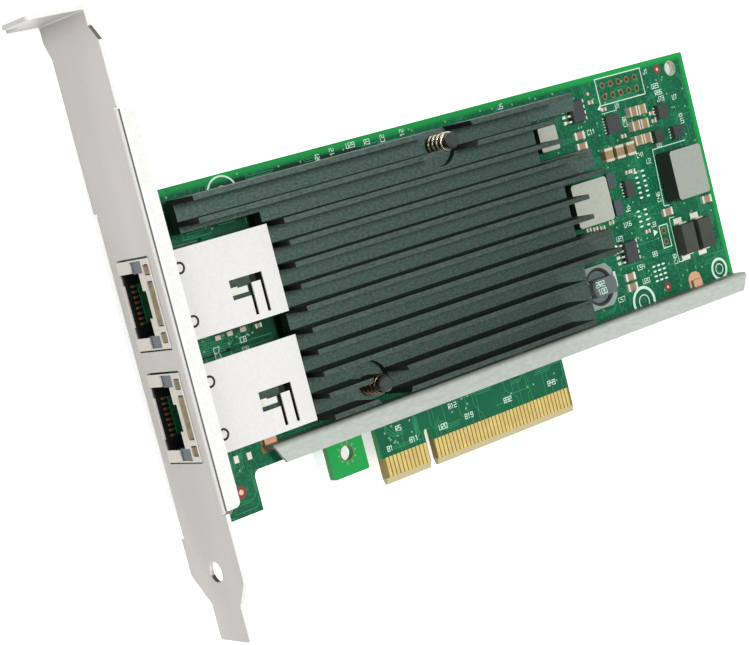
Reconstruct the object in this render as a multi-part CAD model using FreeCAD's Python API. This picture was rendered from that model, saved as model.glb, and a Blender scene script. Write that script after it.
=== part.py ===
import FreeCAD, Part
import math
import os

# Dual-port network interface card, low-profile board on a full-height bracket.
# Millimetres. X runs along the card from the bracket's outer face, Y up from the
# end of the edge connector, Z out of the component side, with Z = 0 on the board.

V = FreeCAD.Vector
os.makedirs("parts", exist_ok=True)

# ---------------------------------------------------------------- board
BOARD_THICK = 1.57
BOARD_TOP = 68.9
BOARD_LEFT = 1.5
BOARD_RIGHT = 155.0
BOARD_LOWER_EDGE = 12.4
LEG_BOTTOM = 4.6
LEG_RIGHT = 16.0
LEG_FILLET = 1.4
TAB_LEFT = 33.5
TAB_WIDTH = 8.8
TAB_BOTTOM = 4.7
TOOLING_HOLE = 3.2
CORNER_HOLE = (150.3, 65.9)
TAB_HOLE = (TAB_LEFT + TAB_WIDTH / 2, 9.2)
LEG_HOLE = (12.0, 9.2)
LEG_HOLE_DIA = 1.3

# edge connector, eight lanes
FINGER_LEFT = 45.8
FINGER_SHORT = 11.65
KEY_WIDTH = 1.9
FINGER_LONG = 38.65
KEY_DEPTH = 8.0
FINGER_PITCH = 1.0
FINGERS_SHORT = 11
FINGERS_LONG = 38
FINGER_FIRST = 1.1
FINGER_AFTER_KEY = 0.55
FINGER_WIDTH = 0.7
FINGER_TOP = 5.4
FINGER_THICK = 0.05
CHAMFER_HEIGHT = 1.3
CHAMFER_DEPTH = 0.45

# ---------------------------------------------------------------- bracket
SHEET = 0.86
BRACKET_HEIGHT = 120.02
BRACKET_TOP = 104.2
BRACKET_FRONT = 13.0
BRACKET_WIDTH = 18.42
BRACKET_BACK = BRACKET_FRONT - BRACKET_WIDTH
BEND_RADIUS = 1.2
TONGUE_WIDTH = 10.2
TONGUE_BACK = -0.6
TONGUE_SHOULDER = -8.7
TAPER_START = -3.4
TAB_SHIFT = 2.4
TAB_BEND_BACK = BRACKET_BACK - 1.6
TAB_BEND_FRONT = BRACKET_FRONT - TAB_SHIFT
SHOULDER_LOW = 97.4
SHOULDER_HIGH = 100.3
SCREW_TAB_DEPTH = 11.43
SCREW_NOTCH = 4.42
FRONT_FLANGE = (9.5, 84.8)
FLANGE_CORNER = 1.2
BACK_FLANGE = (4.4, 66.8)
FLANGE_DEPTH = 3.7
RELIEF = 0.5
LIGHT_HOLE = (-2.3, 4.1)
LIGHT_HOLE_DIA = 4.2

# bracket fixing
FIXING_X = 6.2
FIXING_Y = (8.6, 63.6)
FIXING_EAR_HALF = 3.4
FIXING_EAR_END = 9.6
SCREW_DIA = 3.0
SCREW_CLEARANCE = 0.2
SCREW_HEAD_DIA = 5.4
SCREW_HEAD_HIGH = 1.7
STANDOFF_SIZE = 5.0

# ---------------------------------------------------------------- jacks
JACK_CENTRES = (49.2, 27.6)
JACK_WIDTH = 17.0
JACK_TOP = 9.8
JACK_BOTTOM = -1.8
JACK_FRONT = -0.2
JACK_BACK = 26.7
JACK_STEP = 17.5
JACK_CLEARANCE = 0.35
SHELL_SHEET = 0.3
PORT_HALF = JACK_WIDTH / 2 + JACK_CLEARANCE
PORT_CLEARANCE = 0.2
SOCKET_HALF = 6.1
SOCKET_FLOOR = -1.2
SOCKET_TOP = 5.4
SOCKET_DEPTH = 13.0
LATCH_HALF = 2.6
LATCH_TOP = 6.4
CONTACT_COUNT = 8
CONTACT_PITCH = 1.02
CONTACT_WIDTH = 0.45
CONTACT_THICK = 0.25
CONTACT_NOSE = 1.2
CONTACT_RISE = 0.7
WINDOW_WIDE = 2.3
WINDOW_FLOOR = 3.0
WINDOW_TOP = 7.0
LAMP_DEEP = 1.4
SPRING_HALF = 7.4
SPRING_SLOT_LOW = 7.6
SPRING_SLOT_TOP = JACK_TOP - SHELL_SHEET
SPRING_SLOT_DEEP = 3.2
SPRING_SHEET = 0.2
SPRING_BOW = 0.35
SPRING_GAP = 1.5
SPRING_BRIDGE = 1.1
SPRING_SPLIT = 0.65
LIP_HALF = 4.0

# cut-outs in the jack's top
LANCE_X = 5.9
LANCE_OFFSET = 5.05
LANCE_OUTER = 2.4
LANCE_WIDTH = 0.45
WINDOW_START = 15.4
WINDOW_END = 20.15
WINDOW_ABOVE = 0.2
WINDOW_BELOW = 3.6
WINDOW_STEP = 1.5
SLOT_RIGHT = 22.9
SLOT_WIDTH = 0.7
SLOT_REACH = 7.4
FINGER_DROP = 0.9
HOLLOW_DEEP = 2.6

# ---------------------------------------------------------------- heatsink
SINK_BOTTOM = 2.5
SINK_FLOOR = 5.0
FIN_TOP = 12.5
FIN_COUNT = 12
FIN_PITCH = 4.29
FIN_THICK = 1.0
SINK_TOP_EDGE = 66.5
SINK_LOWER_EDGE = SINK_TOP_EDGE - (FIN_COUNT - 1) * FIN_PITCH - FIN_THICK
SINK_ARM_LEFT = 10.9
SINK_JACK_GAP = 2.3
SINK_ARM_LOWER = JACK_CENTRES[0] + JACK_WIDTH / 2 + SINK_JACK_GAP
SINK_BODY_LEFT = JACK_BACK + SINK_JACK_GAP
SINK_RIGHT = 116.2
NOTCH_LEFT = SINK_RIGHT - 10.2
LUG_LOWER = (30.0, 35.8)
LUG_UPPER = (47.9, 53.9)
LUG_UPPER_STEP = SINK_RIGHT - 3.4
TOP_NOTCH_LEFT = NOTCH_LEFT - 4.8
TOP_ARM_LOWER = 62.6
TOP_ARM_RIGHT = SINK_RIGHT - 2.0
FIN_SHORTER = 0.5
TOP_NOTCH_FINS = (1, 2)
LOW_FINS = (9, 10, 11)
LOW_FIN_SETBACK = 6.9
LUG_FIN_SETBACK = {0: 9.1, 3: 8.3, 4: 4.7, 7: 7.5, 8: 5.2}
PIN_PLACES = ((75.0, 63.5), (44.1, 21.3))
PIN_POCKET = 4.8
PIN_LEDGE = 3.5
PIN_HOLE = 3.0

# push pins and their springs
PIN_SHAFT = 2.2
PIN_HEAD = 3.3
PIN_HEAD_TOP = 10.6
PIN_HEAD_THICK = 1.1
PIN_BARB = 3.9
PIN_TIP = -3.6
SPRING_WIRE = 0.45
SPRING_TURNS = 4
SPRING_STEPS = 10
SPRING_MEAN = 3.5

# chips under the heatsink
CONTROLLER = (88.0, 42.0, 21.0)
PHY = (52.0, 42.0, 25.0)
CHIP_HIGH = 2.25

# ---------------------------------------------------------------- stiffener
RAIL_LEFT = 19.3
RAIL_BACK = 16.4
RAIL_TOP = 4.2
RAIL_SHEET = 0.8
RAIL_TAPER = 2.1
RAIL_RADIUS = 1.0
FEET = ((20.9, 0.8), (86.0, 1.8), (142.4, 1.8))
FOOT_WIDE = 2.8
FOOT_LONG = 1.6
FOOT_PAD_EXTRA = 0.6
PAD_THICK = 0.1

# ---------------------------------------------------------------- small parts
LEAD_SHEET = 0.2
LEAD_WIDTH = 0.42
LEAD_PITCH = 1.27
SO8_BODY = (3.9, 4.9)
SO8_STANDOFF = 0.12
SO8_TOP = 1.6
SO8_REACH = 1.35
SO8_PLACES = ((118.3, 62.1), (124.1, 29.0))

# x, y, width, height on the board, thickness
SMALL_CHIPS = (
    (128.4, 57.3, 4.0, 4.1, 0.95),
    (143.8, 57.0, 2.9, 3.1, 1.3),
    (141.0, 51.8, 2.6, 2.8, 1.3),
    (147.2, 51.6, 3.1, 2.8, 1.3),
    (128.4, 42.5, 2.5, 3.8, 1.2),
)
CHOKES = (
    (144.2, 42.4, 10.0, 11.2, 4.7),
    (NOTCH_LEFT + 7.5, 42.3, 10.6, 9.6, 4.5),
    (TOP_NOTCH_LEFT + 4.3, 58.2, 5.2, 5.2, 4.5),
)
CHOKE_TERMINAL = 0.35
DRUM_PLACE = (NOTCH_LEFT + 5.2, 24.1)
DRUM_DIA = 7.0
DRUM_GAP = 0.35
DRUM_BAR = 3.8
DRUM_FOOT = 2.2
DRUM_TOP = 4.8
CLIP_SIZE = 9.4
CLIP_HIGH = 2.6

CERAMIC_PAIRS = ((134.6, 58.7), (134.4, 55.5), (134.2, 52.2))
CERAMIC_STEP = 2.7
CERAMIC_LONG = 2.4
CERAMIC_WIDE = 2.1
CERAMIC_HIGH = 1.5
CERAMIC_ROW = (124.3, 51.0)
CERAMIC_ROW_PITCH = 3.45
CERAMIC_ROW_COUNT = 3
CERAMIC_ROW_LONG = 3.0
CERAMIC_ROW_WIDE = 2.4
CAP_GROW = 0.05
RESISTOR_LONG = 3.0
RESISTOR_WIDE = 1.6
RESISTOR_HIGH = 0.6
RESISTORS = (
    (117.9, 56.8, False),
    (117.9, 54.3, False),
    (138.6, 34.8, False),
    (151.6, 34.8, False),
    (122.7, 23.6, False),
    (122.7, 21.3, False),
)
POLYMER_SIZE = (4.3, 7.0, 2.8)
POLYMER_PLACE = (141.4, 27.8)
POLYMER_STEP = 5.5
POLYMER_LIFT = 0.12


# ---------------------------------------------------------------- helpers
def on_xy(a, b):
    return V(a, b, 0)


def on_yz(a, b):
    return V(0, a, b)


def on_xz(a, b):
    return V(a, 0, b)


def profile(points, place):
    """Closed face through the points; a third value rounds that corner."""
    count = len(points)
    starts = []
    ends = []
    middles = []
    for i in range(count):
        here = V(points[i][0], points[i][1], 0)
        radius = points[i][2] if len(points[i]) > 2 else 0
        before = V(points[i - 1][0], points[i - 1][1], 0) - here
        after_point = points[(i + 1) % count]
        after = V(after_point[0], after_point[1], 0) - here
        before.normalize()
        after.normalize()
        if radius == 0:
            starts.append(here)
            ends.append(here)
            middles.append(None)
            continue
        half = before.getAngle(after) / 2
        reach = radius / math.tan(half)
        bisector = before + after
        bisector.normalize()
        starts.append(here + before * reach)
        ends.append(here + after * reach)
        middles.append(here + bisector * (radius / math.sin(half) - radius))
    edges = []
    for i in range(count):
        if middles[i] is not None:
            spots = [place(p.x, p.y) for p in (starts[i], middles[i], ends[i])]
            edges.append(Part.Arc(spots[0], spots[1], spots[2]).toShape())
        leaving = ends[i]
        arriving = starts[(i + 1) % count]
        if leaving.distanceToPoint(arriving) > 1e-6:
            line = Part.makeLine(place(leaving.x, leaving.y), place(arriving.x, arriving.y))
            edges.append(line)
    return Part.Face(Part.Wire(edges))


def plate(points, low, high):
    """Outline in X and Y, extruded from low to high in Z."""
    solid = profile(points, on_xy).extrude(V(0, 0, high - low))
    return solid.translated(V(0, 0, low))


def rectangle(left, right, low, high, radius=0):
    corners = [(left, low), (right, low), (right, high), (left, high)]
    return [corner + (radius,) for corner in corners]


def block(x_low, x_high, y_low, y_high, z_low, z_high):
    size = (x_high - x_low, y_high - y_low, z_high - z_low)
    return Part.makeBox(size[0], size[1], size[2], V(x_low, y_low, z_low))


def rod(place, diameter, low, high):
    """Round bar along Z."""
    return Part.makeCylinder(diameter / 2, high - low, V(place[0], place[1], low), V(0, 0, 1))


def turned(place, outline):
    """Solid of revolution about a Z axis through place; outline is (radius, height)."""
    face = profile(outline, on_xz)
    solid = face.revolve(V(0, 0, 0), V(0, 0, 1), 360)
    return solid.translated(V(place[0], place[1], 0))


def joined(shapes):
    return shapes[0].multiFuse(shapes[1:]).removeSplitter()


def save(name, shapes):
    """One STEP file per node; like pieces that share a node stay separate solids."""
    shape = shapes[0] if len(shapes) == 1 else Part.makeCompound(shapes)
    shape.exportStep("parts/" + name + ".step")


# ---------------------------------------------------------------- board
def board_outline():
    key_left = FINGER_LEFT + FINGER_SHORT
    key_right = key_left + KEY_WIDTH
    finger_right = key_right + FINGER_LONG
    return [
        (BOARD_LEFT, LEG_BOTTOM),
        (LEG_RIGHT, LEG_BOTTOM),
        (LEG_RIGHT, BOARD_LOWER_EDGE, LEG_FILLET),
        (TAB_LEFT, BOARD_LOWER_EDGE),
        (TAB_LEFT, TAB_BOTTOM, 0.4),
        (TAB_LEFT + TAB_WIDTH, TAB_BOTTOM, 0.4),
        (TAB_LEFT + TAB_WIDTH, BOARD_LOWER_EDGE),
        (FINGER_LEFT, BOARD_LOWER_EDGE),
        (FINGER_LEFT, 0),
        (key_left, 0),
        (key_left, KEY_DEPTH, KEY_WIDTH / 3),
        (key_right, KEY_DEPTH, KEY_WIDTH / 3),
        (key_right, 0),
        (finger_right, 0),
        (finger_right, BOARD_LOWER_EDGE),
        (BOARD_RIGHT, BOARD_LOWER_EDGE, 0.5),
        (BOARD_RIGHT, BOARD_TOP, 0.5),
        (BOARD_LEFT, BOARD_TOP, 0.5),
    ]


def make_board():
    board = plate(board_outline(), -BOARD_THICK, 0)
    cuts = []
    bay_end = JACK_STEP + JACK_CLEARANCE
    for centre in JACK_CENTRES:
        bay = rectangle(BOARD_LEFT - 1, bay_end, centre - PORT_HALF, centre + PORT_HALF)
        cuts.append(plate(bay, -BOARD_THICK - 1, 1))
    finger_right = FINGER_LEFT + FINGER_SHORT + KEY_WIDTH + FINGER_LONG
    for face, inward in ((0, -1), (-BOARD_THICK, 1)):
        wedge = [(0, face + inward * CHAMFER_DEPTH), (CHAMFER_HEIGHT, face), (0, face)]
        wedge = [(point[0] - 0.001, point[1]) for point in wedge]
        bevel = profile(wedge, on_yz).extrude(V(finger_right - FINGER_LEFT, 0, 0))
        cuts.append(bevel.translated(V(FINGER_LEFT, 0, 0)))
    holes = [(CORNER_HOLE, TOOLING_HOLE), (TAB_HOLE, TOOLING_HOLE), (LEG_HOLE, LEG_HOLE_DIA)]
    holes += [(place, PIN_HOLE + SCREW_CLEARANCE) for place in PIN_PLACES]
    holes += [((FIXING_X, y), SCREW_DIA + SCREW_CLEARANCE) for y in FIXING_Y]
    for place, diameter in holes:
        cuts.append(rod(place, diameter, -BOARD_THICK - 1, 1))
    save("board", [board.cut(cuts)])


def finger_places():
    places = [FINGER_LEFT + FINGER_FIRST + i * FINGER_PITCH for i in range(FINGERS_SHORT)]
    after_key = FINGER_LEFT + FINGER_SHORT + KEY_WIDTH + FINGER_AFTER_KEY
    places += [after_key + i * FINGER_PITCH for i in range(FINGERS_LONG)]
    return places


def make_edge_contacts():
    """Gold contacts on both faces, one short solid per position."""
    for name, face, lift in (("front", 0, FINGER_THICK), ("back", -BOARD_THICK, -FINGER_THICK)):
        contacts = []
        low, high = sorted((face, face + lift))
        for x in finger_places():
            half = FINGER_WIDTH / 2
            contacts.append(block(x - half, x + half, CHAMFER_HEIGHT, FINGER_TOP, low, high))
        save("edge_contacts_" + name, contacts)


# ---------------------------------------------------------------- bracket
def bracket_outline():
    tongue_front = TONGUE_BACK + TONGUE_WIDTH
    bottom = BRACKET_TOP - BRACKET_HEIGHT
    return [
        (bottom, TONGUE_BACK, 0.6),
        (bottom, tongue_front, 0.6),
        (TONGUE_SHOULDER, tongue_front, 1.0),
        (TAPER_START - 0.6, BRACKET_FRONT, 0.8),
        (SHOULDER_LOW, BRACKET_FRONT, 0.6),
        (SHOULDER_HIGH, TAB_BEND_FRONT, 0.6),
        (BRACKET_TOP - BEND_RADIUS, TAB_BEND_FRONT),
        (BRACKET_TOP - BEND_RADIUS, TAB_BEND_BACK),
        (SHOULDER_HIGH, TAB_BEND_BACK, 0.8),
        (SHOULDER_LOW - 0.6, BRACKET_BACK, 0.8),
        (TAPER_START, BRACKET_BACK, 2.0),
        (TONGUE_SHOULDER, TONGUE_BACK, 1.0),
    ]


def bend_profile(edge, side, depth):
    """Section in X and Z of a flange bent back from the face at a long edge."""
    start = edge - side * BEND_RADIUS
    inner = BEND_RADIUS - SHEET
    return [
        (0, start),
        (0, edge, BEND_RADIUS),
        (depth, edge),
        (depth, edge - side * SHEET),
        (SHEET, edge - side * SHEET, inner),
        (SHEET, start),
    ]


def long_flange(span, edge, side, depth):
    """Flange along a long edge, its free corners rounded."""
    face = profile(bend_profile(edge, side, depth), on_xz)
    flange = face.extrude(V(0, span[1] - span[0], 0)).translated(V(0, span[0], 0))
    low = edge - 2
    high = edge + 2
    for end, inward in ((span[0], 1), (span[1], -1)):
        centre = (depth - FLANGE_CORNER, end + inward * FLANGE_CORNER)
        start, stop = sorted((end - inward, centre[1]))
        corner = block(centre[0], depth + 1, start, stop, low, high)
        flange = flange.cut(corner.cut(rod(centre, 2 * FLANGE_CORNER, low - 1, high + 1)))
    return flange


def bend_room(span, edge, side):
    """Strip of the flat face that the bend and its relief cuts take up."""
    inside = edge - side * BEND_RADIUS
    low, high = sorted((inside, edge + side))
    return block(-1, SHEET + 1, span[0] - RELIEF, span[1] + RELIEF, low, high)


def screw_tab():
    """Tab bent outwards at the top, with the open notch for the case screw."""
    lip = SCREW_TAB_DEPTH - SCREW_NOTCH
    section = [
        (0, BRACKET_TOP - BEND_RADIUS),
        (SHEET, BRACKET_TOP - BEND_RADIUS),
        (SHEET, BRACKET_TOP, BEND_RADIUS),
        (-SCREW_TAB_DEPTH, BRACKET_TOP),
        (-SCREW_TAB_DEPTH, BRACKET_TOP - SHEET),
        (0, BRACKET_TOP - SHEET, BEND_RADIUS - SHEET),
    ]
    bent = profile(section, on_xy).extrude(V(0, 0, TAB_BEND_FRONT - TAB_BEND_BACK))
    bent.translate(V(0, 0, TAB_BEND_BACK))
    notch_end = TAB_BEND_BACK + SCREW_NOTCH * 1.6
    plan = [
        (2, TAB_BEND_BACK),
        (-lip, TAB_BEND_BACK, 0.6),
        (-lip, notch_end, SCREW_NOTCH / 2),
        (-SCREW_TAB_DEPTH, notch_end, 0.8),
        (-SCREW_TAB_DEPTH, TAB_BEND_FRONT, 1.2),
        (2, TAB_BEND_FRONT),
    ]
    keep = profile(plan, on_xz).extrude(V(0, 2 * BEND_RADIUS + 2, 0))
    return bent.common(keep.translated(V(0, BRACKET_TOP - 2 * BEND_RADIUS - 1, 0)))


def make_bracket():
    face = profile(bracket_outline(), on_yz).extrude(V(SHEET, 0, 0))
    cuts = [bend_room(FRONT_FLANGE, BRACKET_FRONT, 1), bend_room(BACK_FLANGE, BRACKET_BACK, -1)]
    for centre in JACK_CENTRES:
        low = JACK_BOTTOM - PORT_CLEARANCE
        port = rectangle(centre - PORT_HALF, centre + PORT_HALF, low, JACK_TOP + PORT_CLEARANCE, 0.5)
        cuts.append(profile(port, on_yz).extrude(V(SHEET + 2, 0, 0)).translated(V(-1, 0, 0)))
    light = Part.makeCylinder(LIGHT_HOLE_DIA / 2, SHEET + 2, V(-1, LIGHT_HOLE[0], LIGHT_HOLE[1]), V(1, 0, 0))
    cuts.append(light)
    solids = [face.cut(cuts), screw_tab()]
    solids.append(long_flange(FRONT_FLANGE, BRACKET_FRONT, 1, FLANGE_DEPTH))
    solids.append(long_flange(BACK_FLANGE, BRACKET_BACK, -1, FLANGE_DEPTH))
    for y in FIXING_Y:
        low = max(y - FIXING_EAR_HALF, BACK_FLANGE[0])
        high = min(y + FIXING_EAR_HALF, BACK_FLANGE[1])
        ear = rectangle(FLANGE_DEPTH - 1, FIXING_EAR_END, low, high, 0.8)
        solids.append(plate(ear, BRACKET_BACK, BRACKET_BACK + SHEET))
    bracket = joined(solids)
    drills = [rod((FIXING_X, y), SCREW_DIA - 0.4, BRACKET_BACK - 1, BRACKET_BACK + 2) for y in FIXING_Y]
    save("bracket", [bracket.cut(drills)])


def make_bracket_fixing():
    """Threaded standoffs between the bracket's ears and the board, and their screws."""
    low = BRACKET_BACK + SHEET
    shank_end = low + 0.3
    standoffs = []
    screws = []
    for y in FIXING_Y:
        place = (FIXING_X, y)
        bore = rod(place, SCREW_DIA, low - 1, 1)
        corners = [math.radians(60 * i) for i in range(6)]
        across = STANDOFF_SIZE / math.sqrt(3)
        outline = [(FIXING_X + across * math.cos(a), y + across * math.sin(a)) for a in corners]
        standoffs.append(plate(outline, low, -BOARD_THICK).cut(bore))
        head = SCREW_HEAD_DIA / 2
        shank = SCREW_DIA / 2 - 0.03
        outline = [
            (0, shank_end),
            (shank, shank_end),
            (shank, 0),
            (head, 0),
            (head, SCREW_HEAD_HIGH),
            (0, SCREW_HEAD_HIGH),
        ]
        screw = turned(place, outline)
        for angle in (0, 90):
            slot = block(-1.5, 1.5, -0.25, 0.25, SCREW_HEAD_HIGH - 0.8, SCREW_HEAD_HIGH + 1)
            slot.rotate(V(0, 0, 0), V(0, 0, 1), angle)
            screw = screw.cut(slot.translated(V(place[0], place[1], 0)))
        screws.append(screw)
    save("bracket_standoffs", standoffs)
    save("bracket_screws", screws)


# ---------------------------------------------------------------- jacks
def jack_section(front, step, back, low, top):
    """Side view of a jack: the front half drops through the board, the rear sits on it."""
    return [(front, low), (step, low), (step, 0), (back, 0), (back, top), (front, top)]


def socket_room(centre, front):
    """Space for the plug and its latch, from front inwards."""
    outline = [
        (centre - SOCKET_HALF, SOCKET_FLOOR),
        (centre + SOCKET_HALF, SOCKET_FLOOR),
        (centre + SOCKET_HALF, SOCKET_TOP),
        (centre + LATCH_HALF, SOCKET_TOP),
        (centre + LATCH_HALF, LATCH_TOP),
        (centre - LATCH_HALF, LATCH_TOP),
        (centre - LATCH_HALF, SOCKET_TOP),
        (centre - SOCKET_HALF, SOCKET_TOP),
    ]
    room = profile(outline, on_yz).extrude(V(SOCKET_DEPTH - front, 0, 0))
    return room.translated(V(front, 0, 0))


def light_windows(centre, front, back):
    """Lamp windows beside the mouth, one at each upper corner."""
    windows = []
    for side in (-1, 1):
        outer = centre + side * (JACK_WIDTH / 2 - SHELL_SHEET)
        low, high = sorted((outer, outer - side * WINDOW_WIDE))
        outline = rectangle(low, high, WINDOW_FLOOR, WINDOW_TOP)
        windows.append(profile(outline, on_yz).extrude(V(back - front, 0, 0)).translated(V(front, 0, 0)))
    return windows


def earth_slot(centre, front):
    """Slot over the mouth for the earthing spring."""
    return block(front, SPRING_SLOT_DEEP, centre - SPRING_HALF, centre + SPRING_HALF,
                 SPRING_SLOT_LOW, SPRING_SLOT_TOP)


def earth_openings(centre, front, back):
    """The slot's three openings in the shell's front, with a bridge on each side of the middle one."""
    split = SPRING_HALF * SPRING_SPLIT
    inner = split - SPRING_BRIDGE / 2
    outer = split + SPRING_BRIDGE / 2
    spans = ((-SPRING_HALF, -outer), (-inner, inner), (outer, SPRING_HALF))
    return [block(front, back, centre + a, centre + b, SPRING_SLOT_LOW, SPRING_SLOT_TOP) for a, b in spans]


def finger_window(centre):
    """Cut-out in the shell's top round the spring finger, with its two slots."""
    high = centre + WINDOW_ABOVE
    mid = centre - WINDOW_BELOW
    low = centre - SLOT_REACH
    return [
        (WINDOW_START, mid),
        (WINDOW_END - SLOT_WIDTH, mid),
        (WINDOW_END - SLOT_WIDTH, low),
        (WINDOW_END, low),
        (WINDOW_END, high - WINDOW_STEP),
        (SLOT_RIGHT - SLOT_WIDTH, high - WINDOW_STEP),
        (SLOT_RIGHT - SLOT_WIDTH, low),
        (SLOT_RIGHT, low),
        (SLOT_RIGHT, high),
        (WINDOW_START, high),
    ]


def lance(place):
    """C-shaped cut in the shell's top, open towards the bracket."""
    ring = rod(place, LANCE_OUTER, JACK_TOP - 1, JACK_TOP + 1)
    ring = ring.cut(rod(place, LANCE_OUTER - 2 * LANCE_WIDTH, JACK_TOP - 2, JACK_TOP + 2))
    start = place[0] - LANCE_OUTER / 4
    reach = LANCE_OUTER
    return ring.common(block(start, place[0] + reach, place[1] - reach, place[1] + reach, 0, JACK_TOP + 1))


def make_jack_shell(name, centre):
    """Tinned steel wrap: top, sides, back and a front frame; open underneath."""
    half = JACK_WIDTH / 2
    sheet = SHELL_SHEET
    outside = profile(jack_section(JACK_FRONT, JACK_STEP, JACK_BACK, JACK_BOTTOM, JACK_TOP), on_xz)
    outside = outside.extrude(V(0, 2 * half, 0)).translated(V(0, centre - half, 0))
    inside = block(JACK_FRONT + sheet, JACK_BACK - sheet, centre - half + sheet, centre + half - sheet,
                   JACK_BOTTOM - 1, JACK_TOP - sheet)
    cuts = [inside, socket_room(centre, JACK_FRONT - 1)]
    cuts += earth_openings(centre, JACK_FRONT - 1, JACK_FRONT + sheet)
    cuts += light_windows(centre, JACK_FRONT - 1, JACK_FRONT + sheet)
    for side in (-1, 1):
        low, high = sorted((centre + side * LIP_HALF, centre + side * SOCKET_HALF))
        cuts.append(block(JACK_FRONT - 1, JACK_FRONT + sheet, low, high, JACK_BOTTOM + sheet / 2, SOCKET_FLOOR + 0.1))
    cuts.append(plate(finger_window(centre), JACK_TOP - 1, JACK_TOP + 1))
    for side in (-1, 1):
        cuts.append(lance((LANCE_X, centre + side * LANCE_OFFSET)))
    shell = outside.cut(cuts)
    finger_low = centre - WINDOW_BELOW + 0.8
    finger = [
        (WINDOW_START - 2 * sheet, JACK_TOP - sheet),
        (WINDOW_START - 2 * sheet, JACK_TOP - FINGER_DROP),
        (WINDOW_END - SLOT_WIDTH, JACK_TOP - FINGER_DROP),
        (WINDOW_END - SLOT_WIDTH, JACK_TOP - FINGER_DROP + sheet),
        (WINDOW_START - sheet, JACK_TOP - FINGER_DROP + sheet),
        (WINDOW_START - sheet, JACK_TOP - sheet),
    ]
    finger = profile(finger, on_xz).extrude(V(0, 1.2, 0)).translated(V(0, finger_low, 0))
    save(name, [joined([shell, finger])])


def make_jack_housing(name, centre):
    """Black moulded body inside the shell."""
    half = JACK_WIDTH / 2 - SHELL_SHEET
    front = JACK_FRONT + SHELL_SHEET
    section = jack_section(front, JACK_STEP, JACK_BACK - SHELL_SHEET, JACK_BOTTOM, JACK_TOP - SHELL_SHEET)
    body = profile(section, on_xz).extrude(V(0, 2 * half, 0)).translated(V(0, centre - half, 0))
    cuts = [socket_room(centre, front - 1), earth_slot(centre, front - 1)]
    cuts += light_windows(centre, front - 1, front + LAMP_DEEP)
    hollow = rectangle(WINDOW_START - 1, SLOT_RIGHT + 0.3, centre - SLOT_REACH - 0.3, centre + WINDOW_ABOVE + 0.3)
    cuts.append(plate(hollow, JACK_TOP - HOLLOW_DEEP, JACK_TOP))
    save(name, [body.cut(cuts)])


def make_jack_contacts(name, centre):
    """Eight gold spring wires folded back over the socket's floor."""
    low = SOCKET_FLOOR
    thick = CONTACT_THICK
    wire = [
        (SOCKET_DEPTH, low),
        (CONTACT_NOSE, low),
        (CONTACT_NOSE, low + 2.2 * thick),
        (SOCKET_DEPTH - 3, CONTACT_RISE),
        (SOCKET_DEPTH - 3, CONTACT_RISE - thick),
        (CONTACT_NOSE + 2, low + thick),
        (SOCKET_DEPTH, low + thick),
    ]
    face = profile(wire, on_xz)
    contacts = []
    for i in range(CONTACT_COUNT):
        y = centre + (i - (CONTACT_COUNT - 1) / 2) * CONTACT_PITCH - CONTACT_WIDTH / 2
        contacts.append(face.extrude(V(0, CONTACT_WIDTH, 0)).translated(V(0, y, 0)))
    save(name, contacts)


def make_earth_spring(name, centre):
    """Bronze leaf bowed out of its slot over the mouth, split into a long finger and two short ones."""
    low = SPRING_SLOT_LOW
    top = SPRING_SLOT_TOP
    back = SPRING_SLOT_DEEP - 0.2
    sheet = SPRING_SHEET
    nose = JACK_FRONT - SPRING_BOW
    root = nose + 1.2
    strip = [
        (back, low),
        (root, low),
        (nose + 0.3, low + 0.25),
        (nose, low + 0.7),
        (nose, top - 0.7),
        (nose + 0.3, top - 0.25),
        (root, top),
        (back, top),
        (back, top - sheet),
        (root, top - sheet),
        (nose + sheet, top - 0.8),
        (nose + sheet, low + 0.8),
        (root, low + sheet),
        (back, low + sheet),
    ]
    half = SPRING_HALF - 0.2
    spring = profile(strip, on_xz).extrude(V(0, 2 * half, 0)).translated(V(0, centre - half, 0))
    cuts = []
    for side in (-1, 1):
        middle = centre + side * SPRING_HALF * SPRING_SPLIT
        cuts.append(block(nose - 1, back - 0.8, middle - SPRING_GAP / 2, middle + SPRING_GAP / 2, low - 1, top + 1))
    save(name, [spring.cut(cuts)])


def make_jacks():
    front = JACK_FRONT + SHELL_SHEET
    for i in range(len(JACK_CENTRES)):
        centre = JACK_CENTRES[i]
        number = "_%d" % (i + 1)
        make_jack_shell("jack_shell" + number, centre)
        make_jack_housing("jack_housing" + number, centre)
        make_jack_contacts("jack_contacts" + number, centre)
        make_earth_spring("jack_earth_spring" + number, centre)
        save("jack_light_windows" + number, light_windows(centre, front, front + LAMP_DEEP))


# ---------------------------------------------------------------- heatsink
def sink_outline():
    """Base plate: one arm towards the bracket and notches round taller parts."""
    low = SINK_LOWER_EDGE
    return [
        (SINK_ARM_LEFT, SINK_TOP_EDGE),
        (SINK_ARM_LEFT, SINK_ARM_LOWER),
        (SINK_BODY_LEFT, SINK_ARM_LOWER),
        (SINK_BODY_LEFT, low),
        (NOTCH_LEFT, low),
        (NOTCH_LEFT, LUG_LOWER[0]),
        (SINK_RIGHT, LUG_LOWER[0]),
        (SINK_RIGHT, LUG_LOWER[1]),
        (NOTCH_LEFT, LUG_LOWER[1]),
        (NOTCH_LEFT, LUG_UPPER[0]),
        (LUG_UPPER_STEP, LUG_UPPER[0]),
        (LUG_UPPER_STEP, LUG_UPPER[0] + 1.8),
        (SINK_RIGHT, LUG_UPPER[0] + 1.8),
        (SINK_RIGHT, LUG_UPPER[1]),
        (TOP_NOTCH_LEFT, LUG_UPPER[1]),
        (TOP_NOTCH_LEFT, TOP_ARM_LOWER),
        (TOP_ARM_RIGHT, TOP_ARM_LOWER),
        (TOP_ARM_RIGHT, SINK_TOP_EDGE),
    ]


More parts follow.
